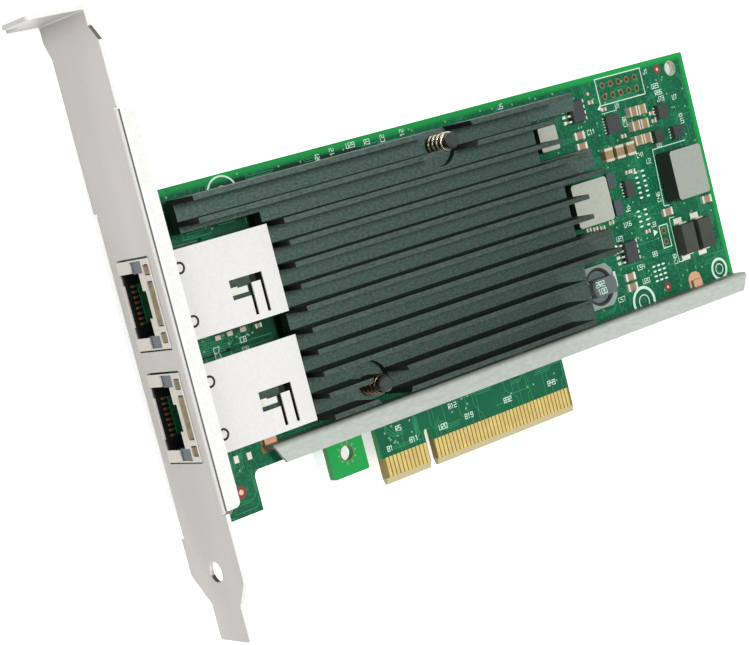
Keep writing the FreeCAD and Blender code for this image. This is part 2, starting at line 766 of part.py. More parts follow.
def fin_span(number):
    """Left and right end of one fin."""
    left = SINK_ARM_LEFT if number < 2 else SINK_BODY_LEFT
    right = NOTCH_LEFT - FIN_SHORTER
    if number in TOP_NOTCH_FINS:
        right = TOP_NOTCH_LEFT + FIN_SHORTER
    if number in LOW_FINS:
        right = NOTCH_LEFT - LOW_FIN_SETBACK
    if number in LUG_FIN_SETBACK:
        right = SINK_RIGHT - LUG_FIN_SETBACK[number]
    return left, right


def make_heatsink():
    solids = [plate(sink_outline(), SINK_BOTTOM, SINK_FLOOR)]
    for number in range(FIN_COUNT):
        left, right = fin_span(number)
        top = SINK_TOP_EDGE - number * FIN_PITCH
        solids.append(block(left, right, top - FIN_THICK, top, SINK_BOTTOM, FIN_TOP))
    sink = joined(solids)
    cuts = []
    for place in PIN_PLACES:
        cuts.append(rod(place, 2 * PIN_POCKET, PIN_LEDGE, FIN_TOP + 1))
        cuts.append(rod(place, PIN_HOLE, SINK_BOTTOM - 1, FIN_TOP))
    save("heatsink", [sink.cut(cuts)])


def coil_spring(place, low, high):
    """Helix of short straight lengths with a six-sided wire, touching low and high."""
    wire = SPRING_WIRE / 2
    steps = SPRING_TURNS * SPRING_STEPS
    rise = (high - low - 2 * wire) / steps
    rings = []
    for i in range(steps + 1):
        angle = 2 * math.pi * i / SPRING_STEPS
        outward = V(math.cos(angle), math.sin(angle), 0)
        middle = V(place[0], place[1], low + wire + i * rise) + outward * (SPRING_MEAN / 2)
        corners = []
        for k in range(6):
            turn = math.radians(30 + 60 * k)
            corners.append(middle + outward * (wire * math.cos(turn)) + V(0, 0, wire * math.sin(turn)))
        rings.append(Part.makePolygon(corners + corners[:1]))
    return Part.makeLoft(rings, True, True)


def make_push_pins():
    pins = []
    springs = []
    head_low = PIN_HEAD_TOP - PIN_HEAD_THICK
    shaft = PIN_SHAFT / 2
    head = PIN_HEAD / 2
    barb = PIN_BARB / 2
    outline = [
        (0, PIN_TIP),
        (shaft * 0.6, PIN_TIP),
        (barb, -BOARD_THICK),
        (shaft, -BOARD_THICK),
        (shaft, head_low),
        (head, head_low),
        (head, PIN_HEAD_TOP - 0.4),
        (head * 0.75, PIN_HEAD_TOP),
        (0, PIN_HEAD_TOP),
    ]
    for place in PIN_PLACES:
        slit = block(-barb - 1, barb + 1, -0.3, 0.3, PIN_TIP - 1, -0.4)
        pins.append(turned(place, outline).cut(slit.translated(V(place[0], place[1], 0))))
        springs.append(coil_spring(place, PIN_LEDGE, head_low))
    save("push_pins", pins)
    save("push_pin_springs", springs)


def make_cooled_chips():
    pads = []
    for name, chip in (("controller_chip", CONTROLLER), ("phy_chip", PHY)):
        half = chip[2] / 2
        outline = rectangle(chip[0] - half, chip[0] + half, chip[1] - half, chip[1] + half, 0.6)
        save(name, [plate(outline, 0, CHIP_HIGH)])
        inner = half - 2
        outline = rectangle(chip[0] - inner, chip[0] + inner, chip[1] - inner, chip[1] + inner)
        pads.append(plate(outline, CHIP_HIGH, SINK_BOTTOM))
    save("thermal_pads", pads)


# ---------------------------------------------------------------- stiffener
def make_stiffener():
    """Folded rail along the lower edge, on three soldered feet."""
    length = BOARD_RIGHT - RAIL_LEFT
    section = [
        (RAIL_BACK, PAD_THICK),
        (RAIL_BACK, RAIL_TOP, RAIL_RADIUS),
        (BOARD_LOWER_EDGE, RAIL_TOP),
        (BOARD_LOWER_EDGE, RAIL_TOP - RAIL_SHEET),
        (RAIL_BACK - RAIL_SHEET, RAIL_TOP - RAIL_SHEET, RAIL_RADIUS - RAIL_SHEET + 0.1),
        (RAIL_BACK - RAIL_SHEET, PAD_THICK),
    ]
    rail = profile(section, on_yz).extrude(V(length, 0, 0)).translated(V(RAIL_LEFT, 0, 0))
    outline = [
        (RAIL_LEFT + RAIL_TAPER, BOARD_LOWER_EDGE),
        (BOARD_RIGHT - RAIL_TAPER, BOARD_LOWER_EDGE),
        (BOARD_RIGHT, RAIL_BACK - 0.4),
        (BOARD_RIGHT, RAIL_BACK),
        (RAIL_LEFT, RAIL_BACK),
        (RAIL_LEFT, RAIL_BACK - 0.4),
    ]
    solids = [rail.common(plate(outline, 0, RAIL_TOP + 1))]
    pads = []
    for x, pad_reach in FEET:
        half = FOOT_WIDE / 2
        top = RAIL_BACK + FOOT_LONG
        foot = rectangle(x - half, x + half, RAIL_BACK - RAIL_SHEET, top)
        solids.append(plate(foot, PAD_THICK, PAD_THICK + RAIL_SHEET))
        wide = half + FOOT_PAD_EXTRA
        pad = [
            (x - wide, RAIL_BACK - 2 * RAIL_SHEET),
            (x + wide, RAIL_BACK - 2 * RAIL_SHEET),
            (x + wide, top + pad_reach, wide * 0.9),
            (x - wide, top + pad_reach, wide * 0.9),
        ]
        pads.append(plate(pad, 0, PAD_THICK))
    save("stiffener", [joined(solids)])
    save("stiffener_pads", pads)


# ---------------------------------------------------------------- small parts
def moulded(place, size, low, top, draft):
    """Moulded package: full size at half height, drawn in by the draft above and below."""
    half_x = size[0] / 2
    half_y = size[1] / 2
    middle = (low + top) / 2
    halves = []
    for start, end in ((middle, top), (middle, low)):
        wires = []
        for level, inset in ((start, 0), (end, draft)):
            corners = rectangle(-half_x + inset, half_x - inset, -half_y + inset, half_y - inset)
            wire = profile(corners, on_xy).OuterWire
            wires.append(wire.translated(V(0, 0, level)))
        halves.append(Part.makeLoft(wires, True))
    return joined(halves).translated(V(place[0], place[1], 0))


def gull_lead(place, toward, reach, height):
    """Lead that leaves the body at mid height and ends flat on the board."""
    sheet = LEAD_SHEET
    section = [
        (0, height),
        (reach * 0.45, height),
        (reach * 0.62, 0),
        (reach, 0),
        (reach, sheet),
        (reach * 0.62 + sheet * 0.7, sheet),
        (reach * 0.45 + sheet * 0.7, height + sheet),
        (0, height + sheet),
    ]
    lead = profile(section, on_xz).extrude(V(0, LEAD_WIDTH, 0)).translated(V(0, -LEAD_WIDTH / 2, 0))
    if toward < 0:
        lead.rotate(V(0, 0, 0), V(0, 0, 1), 180)
    return lead.translated(V(place[0], place[1], 0))


def make_power_transistors():
    bodies = []
    leads = []
    width, length = SO8_BODY
    for place in SO8_PLACES:
        bodies.append(moulded(place, SO8_BODY, SO8_STANDOFF, SO8_TOP, 0.2))
        for side in (-1, 1):
            for i in range(4):
                spot = (place[0] + side * width / 2, place[1] + (i - 1.5) * LEAD_PITCH)
                leads.append(gull_lead(spot, side, SO8_REACH, (SO8_STANDOFF + SO8_TOP - LEAD_SHEET) / 2))
    save("power_transistors", bodies)
    save("power_transistor_leads", leads)


def make_small_chips():
    chips = []
    for x, y, wide, tall, high in SMALL_CHIPS:
        outline = rectangle(x - wide / 2, x + wide / 2, y - tall / 2, y + tall / 2)
        chips.append(plate(outline, 0, high))
    save("small_chips", chips)


def choke(x, y, wide, tall, high):
    """Pressed-powder choke with cropped corners over a terminal at each side."""
    crop = min(wide, tall) * 0.05
    half_x = wide / 2
    half_y = tall / 2
    outline = [
        (x - half_x, y - half_y + crop),
        (x - half_x + crop, y - half_y),
        (x + half_x - crop, y - half_y),
        (x + half_x, y - half_y + crop),
        (x + half_x, y + half_y - crop),
        (x + half_x - crop, y + half_y),
        (x - half_x + crop, y + half_y),
        (x - half_x, y + half_y - crop),
    ]
    body = plate(outline, CHOKE_TERMINAL, high)
    terminals = []
    for side in (-1, 1):
        low, high_y = sorted((y + side * half_y * 0.95, y + side * half_y * 0.45))
        terminals.append(block(x - half_x * 0.3, x + half_x * 0.3, low, high_y, 0, CHOKE_TERMINAL))
    return body, terminals


def make_chokes():
    bodies = []
    terminals = []
    for x, y, wide, tall, high in CHOKES:
        body, ends = choke(x, y, wide, tall, high)
        bodies.append(body)
        terminals += ends
    save("large_inductor", bodies[:1])
    save("square_inductors", bodies[1:])
    save("inductor_terminals", terminals)


def make_round_choke():
    """Drum choke, its top cut to a bar, held in a square clip."""
    radius = DRUM_DIA / 2
    place = DRUM_PLACE
    outline = [
        (0, 0.4),
        (radius, 0.4),
        (radius, DRUM_TOP - 0.4),
        (radius * 0.92, DRUM_TOP),
        (0, DRUM_TOP),
    ]
    drum = turned(place, outline)
    for side in (-1, 1):
        low, high = sorted((place[1] + side * DRUM_BAR / 2, place[1] + side * (radius + 1)))
        drum = drum.cut(block(place[0] - radius - 1, place[0] + radius + 1, low, high, DRUM_FOOT, DRUM_TOP + 1))
    save("round_inductor_core", [drum])
    half = CLIP_SIZE / 2
    crop = CLIP_SIZE * 0.18
    frame = [
        (place[0] - half + crop, place[1] - half),
        (place[0] + half - crop, place[1] - half),
        (place[0] + half, place[1] - half + crop),
        (place[0] + half, place[1] + half - crop),
        (place[0] + half - crop, place[1] + half),
        (place[0] - half + crop, place[1] + half),
        (place[0] - half, place[1] + half - crop),
        (place[0] - half, place[1] - half + crop),
    ]
    clip = plate(frame, 0, CLIP_HIGH).cut(rod(place, DRUM_DIA + 2 * DRUM_GAP, 0.4, CLIP_HIGH + 1))
    save("round_inductor_clip", [clip])


def chip_part(x, y, along, across, high, upright):
    """Block with a metal cap at each end; upright turns the ends to face up and down."""
    cap = along * 0.2
    pieces = []
    for low, end, grow in ((-along / 2 + cap, along / 2 - cap, 0), (-along / 2, -along / 2 + cap, CAP_GROW),
                           (along / 2 - cap, along / 2, CAP_GROW)):
        half = across / 2 + grow
        lift = CAP_GROW - grow
        piece = block(low, end, -half, half, lift, high + 2 * CAP_GROW - lift)
        if upright:
            piece.rotate(V(0, 0, 0), V(0, 0, 1), 90)
        pieces.append(piece.translated(V(x, y, 0)))
    return pieces[0], pieces[1:]


def make_chip_parts():
    bodies = []
    caps = []
    for x, y in CERAMIC_PAIRS:
        for step in (0, CERAMIC_STEP):
            body, ends = chip_part(x + step, y, CERAMIC_LONG, CERAMIC_WIDE, CERAMIC_HIGH, False)
            bodies.append(body)
            caps += ends
    for i in range(CERAMIC_ROW_COUNT):
        x = CERAMIC_ROW[0] + i * CERAMIC_ROW_PITCH
        body, ends = chip_part(x, CERAMIC_ROW[1], CERAMIC_ROW_LONG, CERAMIC_ROW_WIDE, CERAMIC_HIGH, True)
        bodies.append(body)
        caps += ends
    save("ceramic_capacitors", bodies)
    save("ceramic_capacitor_ends", caps)
    bodies = []
    caps = []
    for x, y, upright in RESISTORS:
        body, ends = chip_part(x, y, RESISTOR_LONG, RESISTOR_WIDE, RESISTOR_HIGH, upright)
        bodies.append(body)
        caps += ends
    save("resistors", bodies)
    save("resistor_ends", caps)


def make_polymer_capacitors():
    bodies = []
    ends = []
    wide, tall, high = POLYMER_SIZE
    for i in range(2):
        place = (POLYMER_PLACE[0] + i * POLYMER_STEP, POLYMER_PLACE[1])
        bodies.append(moulded(place, (wide, tall), POLYMER_LIFT, high, 0.15))
        for side in (-1, 1):
            half = tall / 2
            low, top = sorted((place[1] + side * half * 0.6, place[1] + side * (half + 0.25)))
            foot = block(place[0] - 1.2, place[0] + 1.2, low, top, 0, POLYMER_LIFT)
            low, top = sorted((place[1] + side * half, place[1] + side * (half + 0.25)))
            wall = block(place[0] - 1.2, place[0] + 1.2, low, top, 0, high * 0.5 + POLYMER_LIFT / 2)
            ends.append(joined([foot, wall]))
    save("polymer_capacitors", bodies)
    save("polymer_capacitor_ends", ends)


make_board()
make_edge_contacts()
make_bracket()
make_bracket_fixing()
make_jacks()
make_heatsink()
make_push_pins()
make_cooled_chips()
make_stiffener()
make_power_transistors()
make_small_chips()
make_chokes()
make_round_choke()
make_chip_parts()
make_polymer_capacitors()
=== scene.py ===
# %% [markdown]
# # Network interface card
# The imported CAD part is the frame: every solid keeps its place. This script adds the
# camera, the studio, the finishes and the fine detail that solids don't carry.

# %% Frame
import math
import random

import bpy
from mathutils import Matrix, Vector


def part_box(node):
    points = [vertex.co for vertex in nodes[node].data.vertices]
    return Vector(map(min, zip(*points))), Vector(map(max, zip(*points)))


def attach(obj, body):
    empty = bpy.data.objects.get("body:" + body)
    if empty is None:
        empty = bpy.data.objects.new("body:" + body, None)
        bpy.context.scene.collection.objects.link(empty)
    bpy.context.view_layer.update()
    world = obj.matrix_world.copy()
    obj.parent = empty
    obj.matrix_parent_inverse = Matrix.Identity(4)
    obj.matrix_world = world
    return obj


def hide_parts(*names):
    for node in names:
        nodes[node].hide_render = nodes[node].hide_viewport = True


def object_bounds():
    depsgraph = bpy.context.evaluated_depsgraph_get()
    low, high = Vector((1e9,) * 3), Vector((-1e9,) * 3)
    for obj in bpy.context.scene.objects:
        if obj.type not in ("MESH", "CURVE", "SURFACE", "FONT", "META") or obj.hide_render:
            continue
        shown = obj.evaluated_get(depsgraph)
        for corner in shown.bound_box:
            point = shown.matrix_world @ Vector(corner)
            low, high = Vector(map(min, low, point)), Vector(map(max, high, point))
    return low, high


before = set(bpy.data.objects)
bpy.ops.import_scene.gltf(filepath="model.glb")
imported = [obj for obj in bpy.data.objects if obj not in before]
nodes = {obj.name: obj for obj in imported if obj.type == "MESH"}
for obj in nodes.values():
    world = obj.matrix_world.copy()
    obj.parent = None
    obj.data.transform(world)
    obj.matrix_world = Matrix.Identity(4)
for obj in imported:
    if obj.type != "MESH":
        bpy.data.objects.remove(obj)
cad_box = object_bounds()
scene = bpy.context.scene
MM = 0.001
print("nodes:", len(nodes), "CAD box:", [tuple(round(v, 4) for v in corner) for corner in cad_box])

# %% [markdown]
# ## Camera
# A long lens looks down on the component side from over the bracket's upper end.
# The eye and the point it aims at are in the frame's own metres; the roll turns the
# picture so that the bracket stands at the left.
#
# A lens this long was chosen over a short one near the card because it keeps the fins
# almost parallel, as a catalogue picture does.

# %% Camera
EYE = Vector((-0.17881, 0.07275, 0.32227))
AIM = Vector((0.05230, 0.03210, 0.0))
ROLL = 83.69
LENS = 95.25


def aim_matrix(eye, aim, roll_degrees):
    forward = (aim - eye).normalized()
    level = forward.cross(Vector((0, 0, 1))).normalized()
    upright = level.cross(forward)
    turn = math.radians(roll_degrees)
    right = level * math.cos(turn) + upright * math.sin(turn)
    up = right.cross(forward)
    rotation = Matrix((right, up, -forward)).transposed().to_4x4()
    return Matrix.Translation(eye) @ rotation


camera_data = bpy.data.cameras.new("camera")
camera_data.lens = LENS
camera_data.sensor_width = 36
camera_data.clip_start = 0.01
camera = bpy.data.objects.new("camera", camera_data)
scene.collection.objects.link(camera)
camera.matrix_world = aim_matrix(EYE, AIM, ROLL)
scene.camera = camera
scene.view_settings.view_transform = "Standard"
print("camera", tuple(round(v, 4) for v in camera.location), "lens", LENS)

# %% [markdown]
# ## Studio
# A pale floor lies under the card, tilted as the card rests on its bracket and far end.
# A broad sun overhead gives the soft top light, and two weaker lamps lift the bracket's
# face and the long edge. A sun was chosen for the key because its light is even over the
# whole card, so that a colour renders about as it is written.

# %% Studio
REST_TILT = math.radians(1.5)
FLOOR_SIZE = 6.0
FLOOR_GAP = 0.0002
KEY_DIRECTION = Vector((0.04, -0.1, -1.0))
KEY_STRENGTH, KEY_SPREAD = 2.45, math.radians(14)
SKY_STRENGTH = 0.4
CENTRE = (0.07, 0.04, 0.0)


def stage_plane(name, centre, size, tilt):
    mesh = bpy.data.meshes.new(name)
    half = size / 2
    corners = [(-half, -half, 0), (half, -half, 0), (half, half, 0), (-half, half, 0)]
    mesh.from_pydata(corners, [], [(0, 1, 2, 3)])
    plane = bpy.data.objects.new(name, mesh)
    scene.collection.objects.link(plane)
    plane.rotation_euler = (0, tilt, 0)
    plane.location = centre
    return plane


floor_z = cad_box[0][2] - FLOOR_GAP
floor = stage_plane("floor", (0, 0.03, floor_z), FLOOR_SIZE, -REST_TILT)


def lamp(name, place, size, power):
    """A white area lamp that looks at the card's middle."""
    data = bpy.data.lights.new(name, "AREA")
    data.shape = "RECTANGLE"
    data.size, data.size_y = size
    data.energy = power
    lamp_object = bpy.data.objects.new(name, data)
    scene.collection.objects.link(lamp_object)
    direction = Vector(CENTRE) - Vector(place)
    lamp_object.location = place
    lamp_object.rotation_euler = direction.to_track_quat("-Z", "Y").to_euler()


key = bpy.data.lights.new("key", "SUN")
key.energy = KEY_STRENGTH
key.angle = KEY_SPREAD
key_object = bpy.data.objects.new("key", key)
scene.collection.objects.link(key_object)
key_object.rotation_euler = KEY_DIRECTION.to_track_quat("-Z", "Y").to_euler()
lamp("bracket_side", place=(-0.9, 0.05, 0.45), size=(0.7, 0.7), power=4.2)
lamp("far_side", place=(0.5, -0.7, 0.5), size=(0.5, 0.5), power=3.0)

world = bpy.data.worlds.new("studio")
scene.world = world
world.use_nodes = True
sky = world.node_tree.nodes["Background"]
sky.inputs["Color"].default_value = (1.0, 1.0, 1.0, 1)
sky.inputs["Strength"].default_value = SKY_STRENGTH
print("studio ready, floor at", round(floor_z, 5))

# %% [markdown]
# ## Finishes
# Real sheet, plastic and solder mask are never one flat colour, so every finish is a
# Principled surface whose colour drifts with noise. The noise reads object coordinates,
# in metres, and so it needs no unwrapping and stays with the piece. Where one solid shows
# several finishes, as the board does, masks made from place and facing lay one colour
# over another. Cutting the mesh up would also work, but the solids stay whole this way.

# %% Finish makers
def new_material(name):
    material = bpy.data.materials.new(name)
    material.use_nodes = True
    tree = material.node_tree
    return material, tree, tree.nodes["Principled BSDF"]


def add(tree, kind, **values):
    """A shader node with its properties and input values set by name."""
    node = tree.nodes.new(kind)
    for key, value in values.items():
        if key in node.inputs:
            node.inputs[key].default_value = value
        else:
            setattr(node, key, value)
    return node


def noise_on_object(tree, scale, stretch=(1, 1, 1), detail=3.0):
    """Noise in object coordinates, stretched along the axes."""
    place = add(tree, "ShaderNodeTexCoord")
    mapping = add(tree, "ShaderNodeMapping", Scale=stretch)
    noise = add(tree, "ShaderNodeTexNoise", Scale=scale, Detail=detail)
    tree.links.new(place.outputs["Object"], mapping.inputs["Vector"])
    tree.links.new(mapping.outputs["Vector"], noise.inputs["Vector"])
    return noise


def coordinates(tree):
    """Object place and facing, each split into X, Y and Z."""
    source = add(tree, "ShaderNodeTexCoord")
    split = []
    for output in ("Object", "Normal"):
        node = add(tree, "ShaderNodeSeparateXYZ")
        tree.links.new(source.outputs[output], node.inputs["Vector"])
        split.append(node.outputs)
    return split


NOISE_SPAN = (0.3, 0.7)


def blend_colours(tree, factor, dark, light):
    """From a dark to a light colour as noise crosses its usual span."""
    blend = add(tree, "ShaderNodeValToRGB")
    for element, place, colour in zip(blend.color_ramp.elements, NOISE_SPAN, (dark, light)):
        element.position = place
        element.color = (*colour, 1)
    tree.links.new(factor, blend.inputs["Fac"])
    return blend.outputs["Color"]


def around(colour, vary):
    """The darker and the lighter colour that noise drifts between."""
    return tuple(c * (1 - vary) for c in colour), tuple(min(1, c * (1 + vary)) for c in colour)


def srgb(red, green, blue):
    """Linear colour of an 8-bit sRGB colour."""
    values = []
    for level in (red, green, blue):
        c = level / 255
        values.append(c / 12.92 if c <= 0.04045 else ((c + 0.055) / 1.055) ** 2.4)
    return tuple(values)


def finish(name, colour, rough=0.5, metal=0.0, vary=0.12, scale=400, bump=0.0):
    """Principled finish whose colour drifts with noise."""
    material, tree, surface = new_material(name)
    noise = noise_on_object(tree, scale)
    drifting = blend_colours(tree, noise.outputs["Fac"], *around(colour, vary))
    tree.links.new(drifting, surface.inputs["Base Color"])
    surface.inputs["Metallic"].default_value = metal
    surface.inputs["Roughness"].default_value = rough
    if bump:
        relief = add(tree, "ShaderNodeBump", Strength=bump, Distance=0.0001)
        tree.links.new(noise.outputs["Fac"], relief.inputs["Height"])
        tree.links.new(relief.outputs["Normal"], surface.inputs["Normal"])
    return material


print("mid grey in linear light:", round(srgb(128, 128, 128)[0], 3))

# %% [markdown]
# ## Masks
# One solid often shows more than one finish: a board has bare margins, a fold has a dark
# crease. A mask is a number that is 1 where a colour belongs and 0 elsewhere. The masks
# here come from place and facing, so no face has to be picked by hand, and an unwrapped
# mesh, which painting would need, isn't needed either.

# %% Masks
SOFT_EDGE = 0.0001
# a Mix node has sockets of the same name for every kind of value, so its colours go by number
MIX_BELOW, MIX_ABOVE, MIX_RESULT = 6, 7, 2


def ramp(tree, value, start, end):
    """0 up to start, 1 from end on."""
    node = add(tree, "ShaderNodeMapRange")
    node.inputs["From Min"].default_value = start
    node.inputs["From Max"].default_value = end
    tree.links.new(value, node.inputs["Value"])
    return node.outputs["Result"]


def times(tree, first, second):
    node = add(tree, "ShaderNodeMath", operation="MULTIPLY")
    tree.links.new(first, node.inputs[0])
    tree.links.new(second, node.inputs[1])
    return node.outputs["Value"]


def band(tree, value, low, high):
    """1 where value is between low and high, else 0, with soft edges."""
    above = ramp(tree, value, low - SOFT_EDGE, low + SOFT_EDGE)
    below = ramp(tree, value, high + SOFT_EDGE, high - SOFT_EDGE)
    return times(tree, above, below)


def over(tree, below, colour, mask):
    """A colour laid over another where the mask is 1."""
    mix = add(tree, "ShaderNodeMix", data_type="RGBA")
    tree.links.new(mask, mix.inputs["Factor"])
    tree.links.new(below, mix.inputs[MIX_BELOW])
    mix.inputs[MIX_ABOVE].default_value = (*colour, 1)
    return mix.outputs[MIX_RESULT]


def scaled(tree, colour, value, span, levels):
    """A colour whose strength goes from one level to another as a value crosses its span."""
    level = add(tree, "ShaderNodeMapRange")
    for title, number in zip(("From Min", "From Max", "To Min", "To Max"), (*span, *levels)):
        level.inputs[title].default_value = number
    product = add(tree, "ShaderNodeVectorMath", operation="SCALE")
    tree.links.new(value, level.inputs["Value"])
    tree.links.new(colour, product.inputs[0])
    tree.links.new(level.outputs["Result"], product.inputs["Scale"])
    return product.outputs["Vector"]


def drift(tree, colour, spot, span, levels):
    """A colour whose strength drifts across the part, with X/2 - Y in metres, as a painted sheen.
    """
    lower = add(tree, "ShaderNodeMath", operation="MULTIPLY")
    lower.inputs[1].default_value = -1
    both = add(tree, "ShaderNodeMath", operation="MULTIPLY_ADD")
    both.inputs[1].default_value = 0.5
    tree.links.new(spot["Y"], lower.inputs[0])
    tree.links.new(spot["X"], both.inputs[0])
    tree.links.new(lower.outputs["Value"], both.inputs[2])
    return scaled(tree, colour, both.outputs["Value"], span, levels)


print("edge of a mask:", 2 * SOFT_EDGE / MM, "mm")

# %% [markdown]
# ## Heatsink finish
# The heatsink is an anodised extrusion. Its cut tops catch the light, its flanks are painted nearly
# black as painted shade, and the channel floors are painted a little paler as painted light. A
# painted sheen lightens it towards one corner. Three materials on sorted faces would do it too, but
# one that asks which way a face looks follows any shape. The rail and the chokes' cores come from
# the same maker with other colours, and their sides are painted darker as painted shade.

# %% Heatsink finish
def shaded_by_facing(name, face_colour, shaded_side_colour, rough, metal=0.0, vary=0.08, scale=500,
                     stretch=(1, 1, 1), floor_colour=None, floor_top=0.0, painted_sheen=None):
    """Finish with painted shade on the sides, its own colour on upward faces, a floor colour below
    a height and an optional painted sheen.
    """
    material, tree, surface = new_material(name)
    noise = noise_on_object(tree, scale, stretch)
    spot, facing = coordinates(tree)
    face = add(tree, "ShaderNodeRGB")
    face.outputs[0].default_value = (*face_colour, 1)
    face = face.outputs[0]
    if floor_colour:
        face = over(tree, face, floor_colour, band(tree, spot["Z"], -1, floor_top))
    mix = add(tree, "ShaderNodeMix", data_type="RGBA")
    mix.inputs[MIX_BELOW].default_value = (*shaded_side_colour, 1)
    tree.links.new(facing["Z"], mix.inputs["Factor"])
    tree.links.new(face, mix.inputs[MIX_ABOVE])
    mixed = mix.outputs[MIX_RESULT]
    colour = scaled(tree, mixed, noise.outputs["Fac"], NOISE_SPAN, (1 - vary, 1 + vary))
    if painted_sheen:
        colour = drift(tree, colour, spot, *painted_sheen)
    tree.links.new(colour, surface.inputs["Base Color"])
    surface.inputs["Roughness"].default_value = rough
    surface.inputs["Metallic"].default_value = metal
    return material


# The flanks' near black is painted shade, the paler channel floor is painted light, and the drift
# towards one corner is a painted sheen.
anodised = shaded_by_facing("anodised", srgb(46, 62, 57), srgb(5, 10, 8), 0.5, 0.1,
                            vary=0.45, scale=2600, stretch=(0.5, 1, 1),
                            floor_colour=srgb(56, 77, 70), floor_top=0.006,
                            painted_sheen=((-0.05, 0.027), (1.45, 0.76)))
print("heatsink finish nodes:", len(anodised.node_tree.nodes))

# %% [markdown]
# ## Solder mask
# Green lacquer covers the board's copper. It looks brighter over bare glass at the margins and on
# the tab, brown-gold between the contacts and pale on the ground bevel. Between the sockets it is
# darkened by painted shade.
# Each region is a mask over a mottled base. Cutting the board's face into regions would
# work as well, but it would have to be done again after every change to the solid.

# %% Solder mask
# regions of the board, in metres
MARGIN_ABOVE, MARGIN_END = (0.0017, 0.0008), (0.0019, 0.0006)
TAB_SPAN, TAB_TOP = (0.033, 0.0425), 0.0135
CONNECTOR_LEFT, CONNECTOR_TOP = 0.0435, 0.0155
CONTACT_SPAN, CONTACT_TOP, BEVEL = (0.0455, 0.0984), 0.0053, 0.0013
SOCKET_SIDE, SOCKET_RIGHT, SHADE = (0.02, 0.0672), 0.06, (0.014, 0.03)
CORNER_X, CORNER_Y = (0.1484, 0.1522), (0.064, 0.0678)


def board_finish(low, high):
    """Solder mask, mottled over copper, brighter on the margins and the tab, pale on the bevel,
    with painted shade by the sockets.
    """
    material, tree, surface = new_material("solder_mask")
    broad = noise_on_object(tree, 160, detail=2.0)
    fine = noise_on_object(tree, 1500, detail=3.0)
    colour = blend_colours(tree, broad.outputs["Fac"], srgb(2, 75, 48), srgb(8, 92, 60))
    colour = over(tree, colour, srgb(28, 120, 84), ramp(tree, fine.outputs["Fac"], 0.5, 0.75))
    spot, facing = coordinates(tree)
    x, y = spot["X"], spot["Y"]
    margin = srgb(18, 140, 64)
    colour = over(tree, colour, margin, ramp(tree, y, *(high[1] - v for v in MARGIN_ABOVE)))
    colour = over(tree, colour, margin, ramp(tree, x, *(high[0] - v for v in MARGIN_END)))
    tab = times(tree, band(tree, x, *TAB_SPAN), band(tree, y, -1, TAB_TOP))
    colour = over(tree, colour, srgb(22, 140, 66), tab)
    below = times(tree, band(tree, x, CONNECTOR_LEFT, 1), band(tree, y, -1, CONNECTOR_TOP))
    below = times(tree, below, ramp(tree, fine.outputs["Fac"], 0.35, 0.6))
    colour = over(tree, colour, srgb(6, 84, 56), below)
    # painted shade: the board is darkened beside the sockets
    painted_shade_by_sockets = times(tree, band(tree, y, *SOCKET_SIDE), band(tree, x, -1, SOCKET_RIGHT))
    colour = over(tree, colour, srgb(2, 46, 28), times(tree, painted_shade_by_sockets, ramp(tree, x, *SHADE)))
    wall = band(tree, facing["Z"], -0.5, 0.5)
    colour = over(tree, colour, srgb(20, 128, 62), wall)
    corner = times(tree, band(tree, x, *CORNER_X), band(tree, y, *CORNER_Y))
    colour = over(tree, colour, srgb(222, 216, 196), times(tree, corner, wall))
    between = times(tree, band(tree, x, *CONTACT_SPAN), band(tree, y, -1, CONTACT_TOP))
    colour = over(tree, colour, srgb(124, 106, 50), between)
    colour = over(tree, colour, srgb(168, 160, 118), band(tree, y, low[1] - 1, low[1] + BEVEL))
    tree.links.new(colour, surface.inputs["Base Color"])
    surface.inputs["Roughness"].default_value = 0.4
    surface.inputs["Specular IOR Level"].default_value = 0.25
    return material


solder_mask = board_finish(*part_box("board"))
print("solder mask nodes:", len(solder_mask.node_tree.nodes))

# %% [markdown]
# ## Bracket steel
# The bracket is plated sheet, cut and folded. Its upward faces are painted paler as painted light,
# a dark line beside the long fold is painted shade, slanted edge faces are painted darker as
# painted shade, and the screw tab's downward faces are painted lighter as painted light. A crease
# could be modelled instead, but it would be finer than the sheet is thick, so a mask on the flat
# face draws the line.

# %% Bracket steel
FLANGE_SPAN, FLANGE_LOW = (0.0095, 0.0848), 0.0125
FOLD_SHADE = (0.00034, 0.00062)
SCREW_TAB_LOW = 0.1


def bracket_finish():
    """Plated steel with painted light on upward faces and under the screw tab, and painted shade
    beside the fold and on slanted edges.
    """
    material, tree, surface = new_material("bracket_steel")
    noise = noise_on_object(tree, 60, (1, 0.2, 1))
    colour = blend_colours(tree, noise.outputs["Fac"], srgb(157, 154, 149), srgb(174, 171, 167))
    spot, facing = coordinates(tree)
    # painted light: upward faces are painted paler
    colour = over(tree, colour, srgb(217, 217, 214), facing["Z"])
    grain = noise_on_object(tree, 2200)
    colour = scaled(tree, colour, grain.outputs["Fac"], NOISE_SPAN, (0.95, 1.04))
    # painted shade: a dark line beside the long fold
    fold_shade = times(tree, band(tree, spot["X"], *FOLD_SHADE), band(tree, spot["Z"], FLANGE_LOW, 1))
    fold_shade = times(tree, fold_shade, band(tree, spot["Y"], *FLANGE_SPAN))
    colour = over(tree, colour, srgb(52, 50, 44), fold_shade)
    # painted shade: slanted edge faces are painted darker
    slant_shade = times(tree, band(tree, facing["Y"], 0.35, 0.95), band(tree, facing["Z"], 0.3, 0.95))
    colour = over(tree, colour, srgb(92, 90, 85), slant_shade)
    # painted light: the screw tab's downward faces are painted lighter
    inward = band(tree, facing["Y"], -2, -0.5)
    tab_underside_light = times(tree, inward, band(tree, spot["Y"], SCREW_TAB_LOW, 1))
    colour = over(tree, colour, srgb(196, 194, 190), tab_underside_light)
    tree.links.new(colour, surface.inputs["Base Color"])
    surface.inputs["Roughness"].default_value = 0.42
    surface.inputs["Metallic"].default_value = 0.1
    return material


bracket_steel = bracket_finish()
print("bracket steel nodes:", len(bracket_steel.node_tree.nodes))
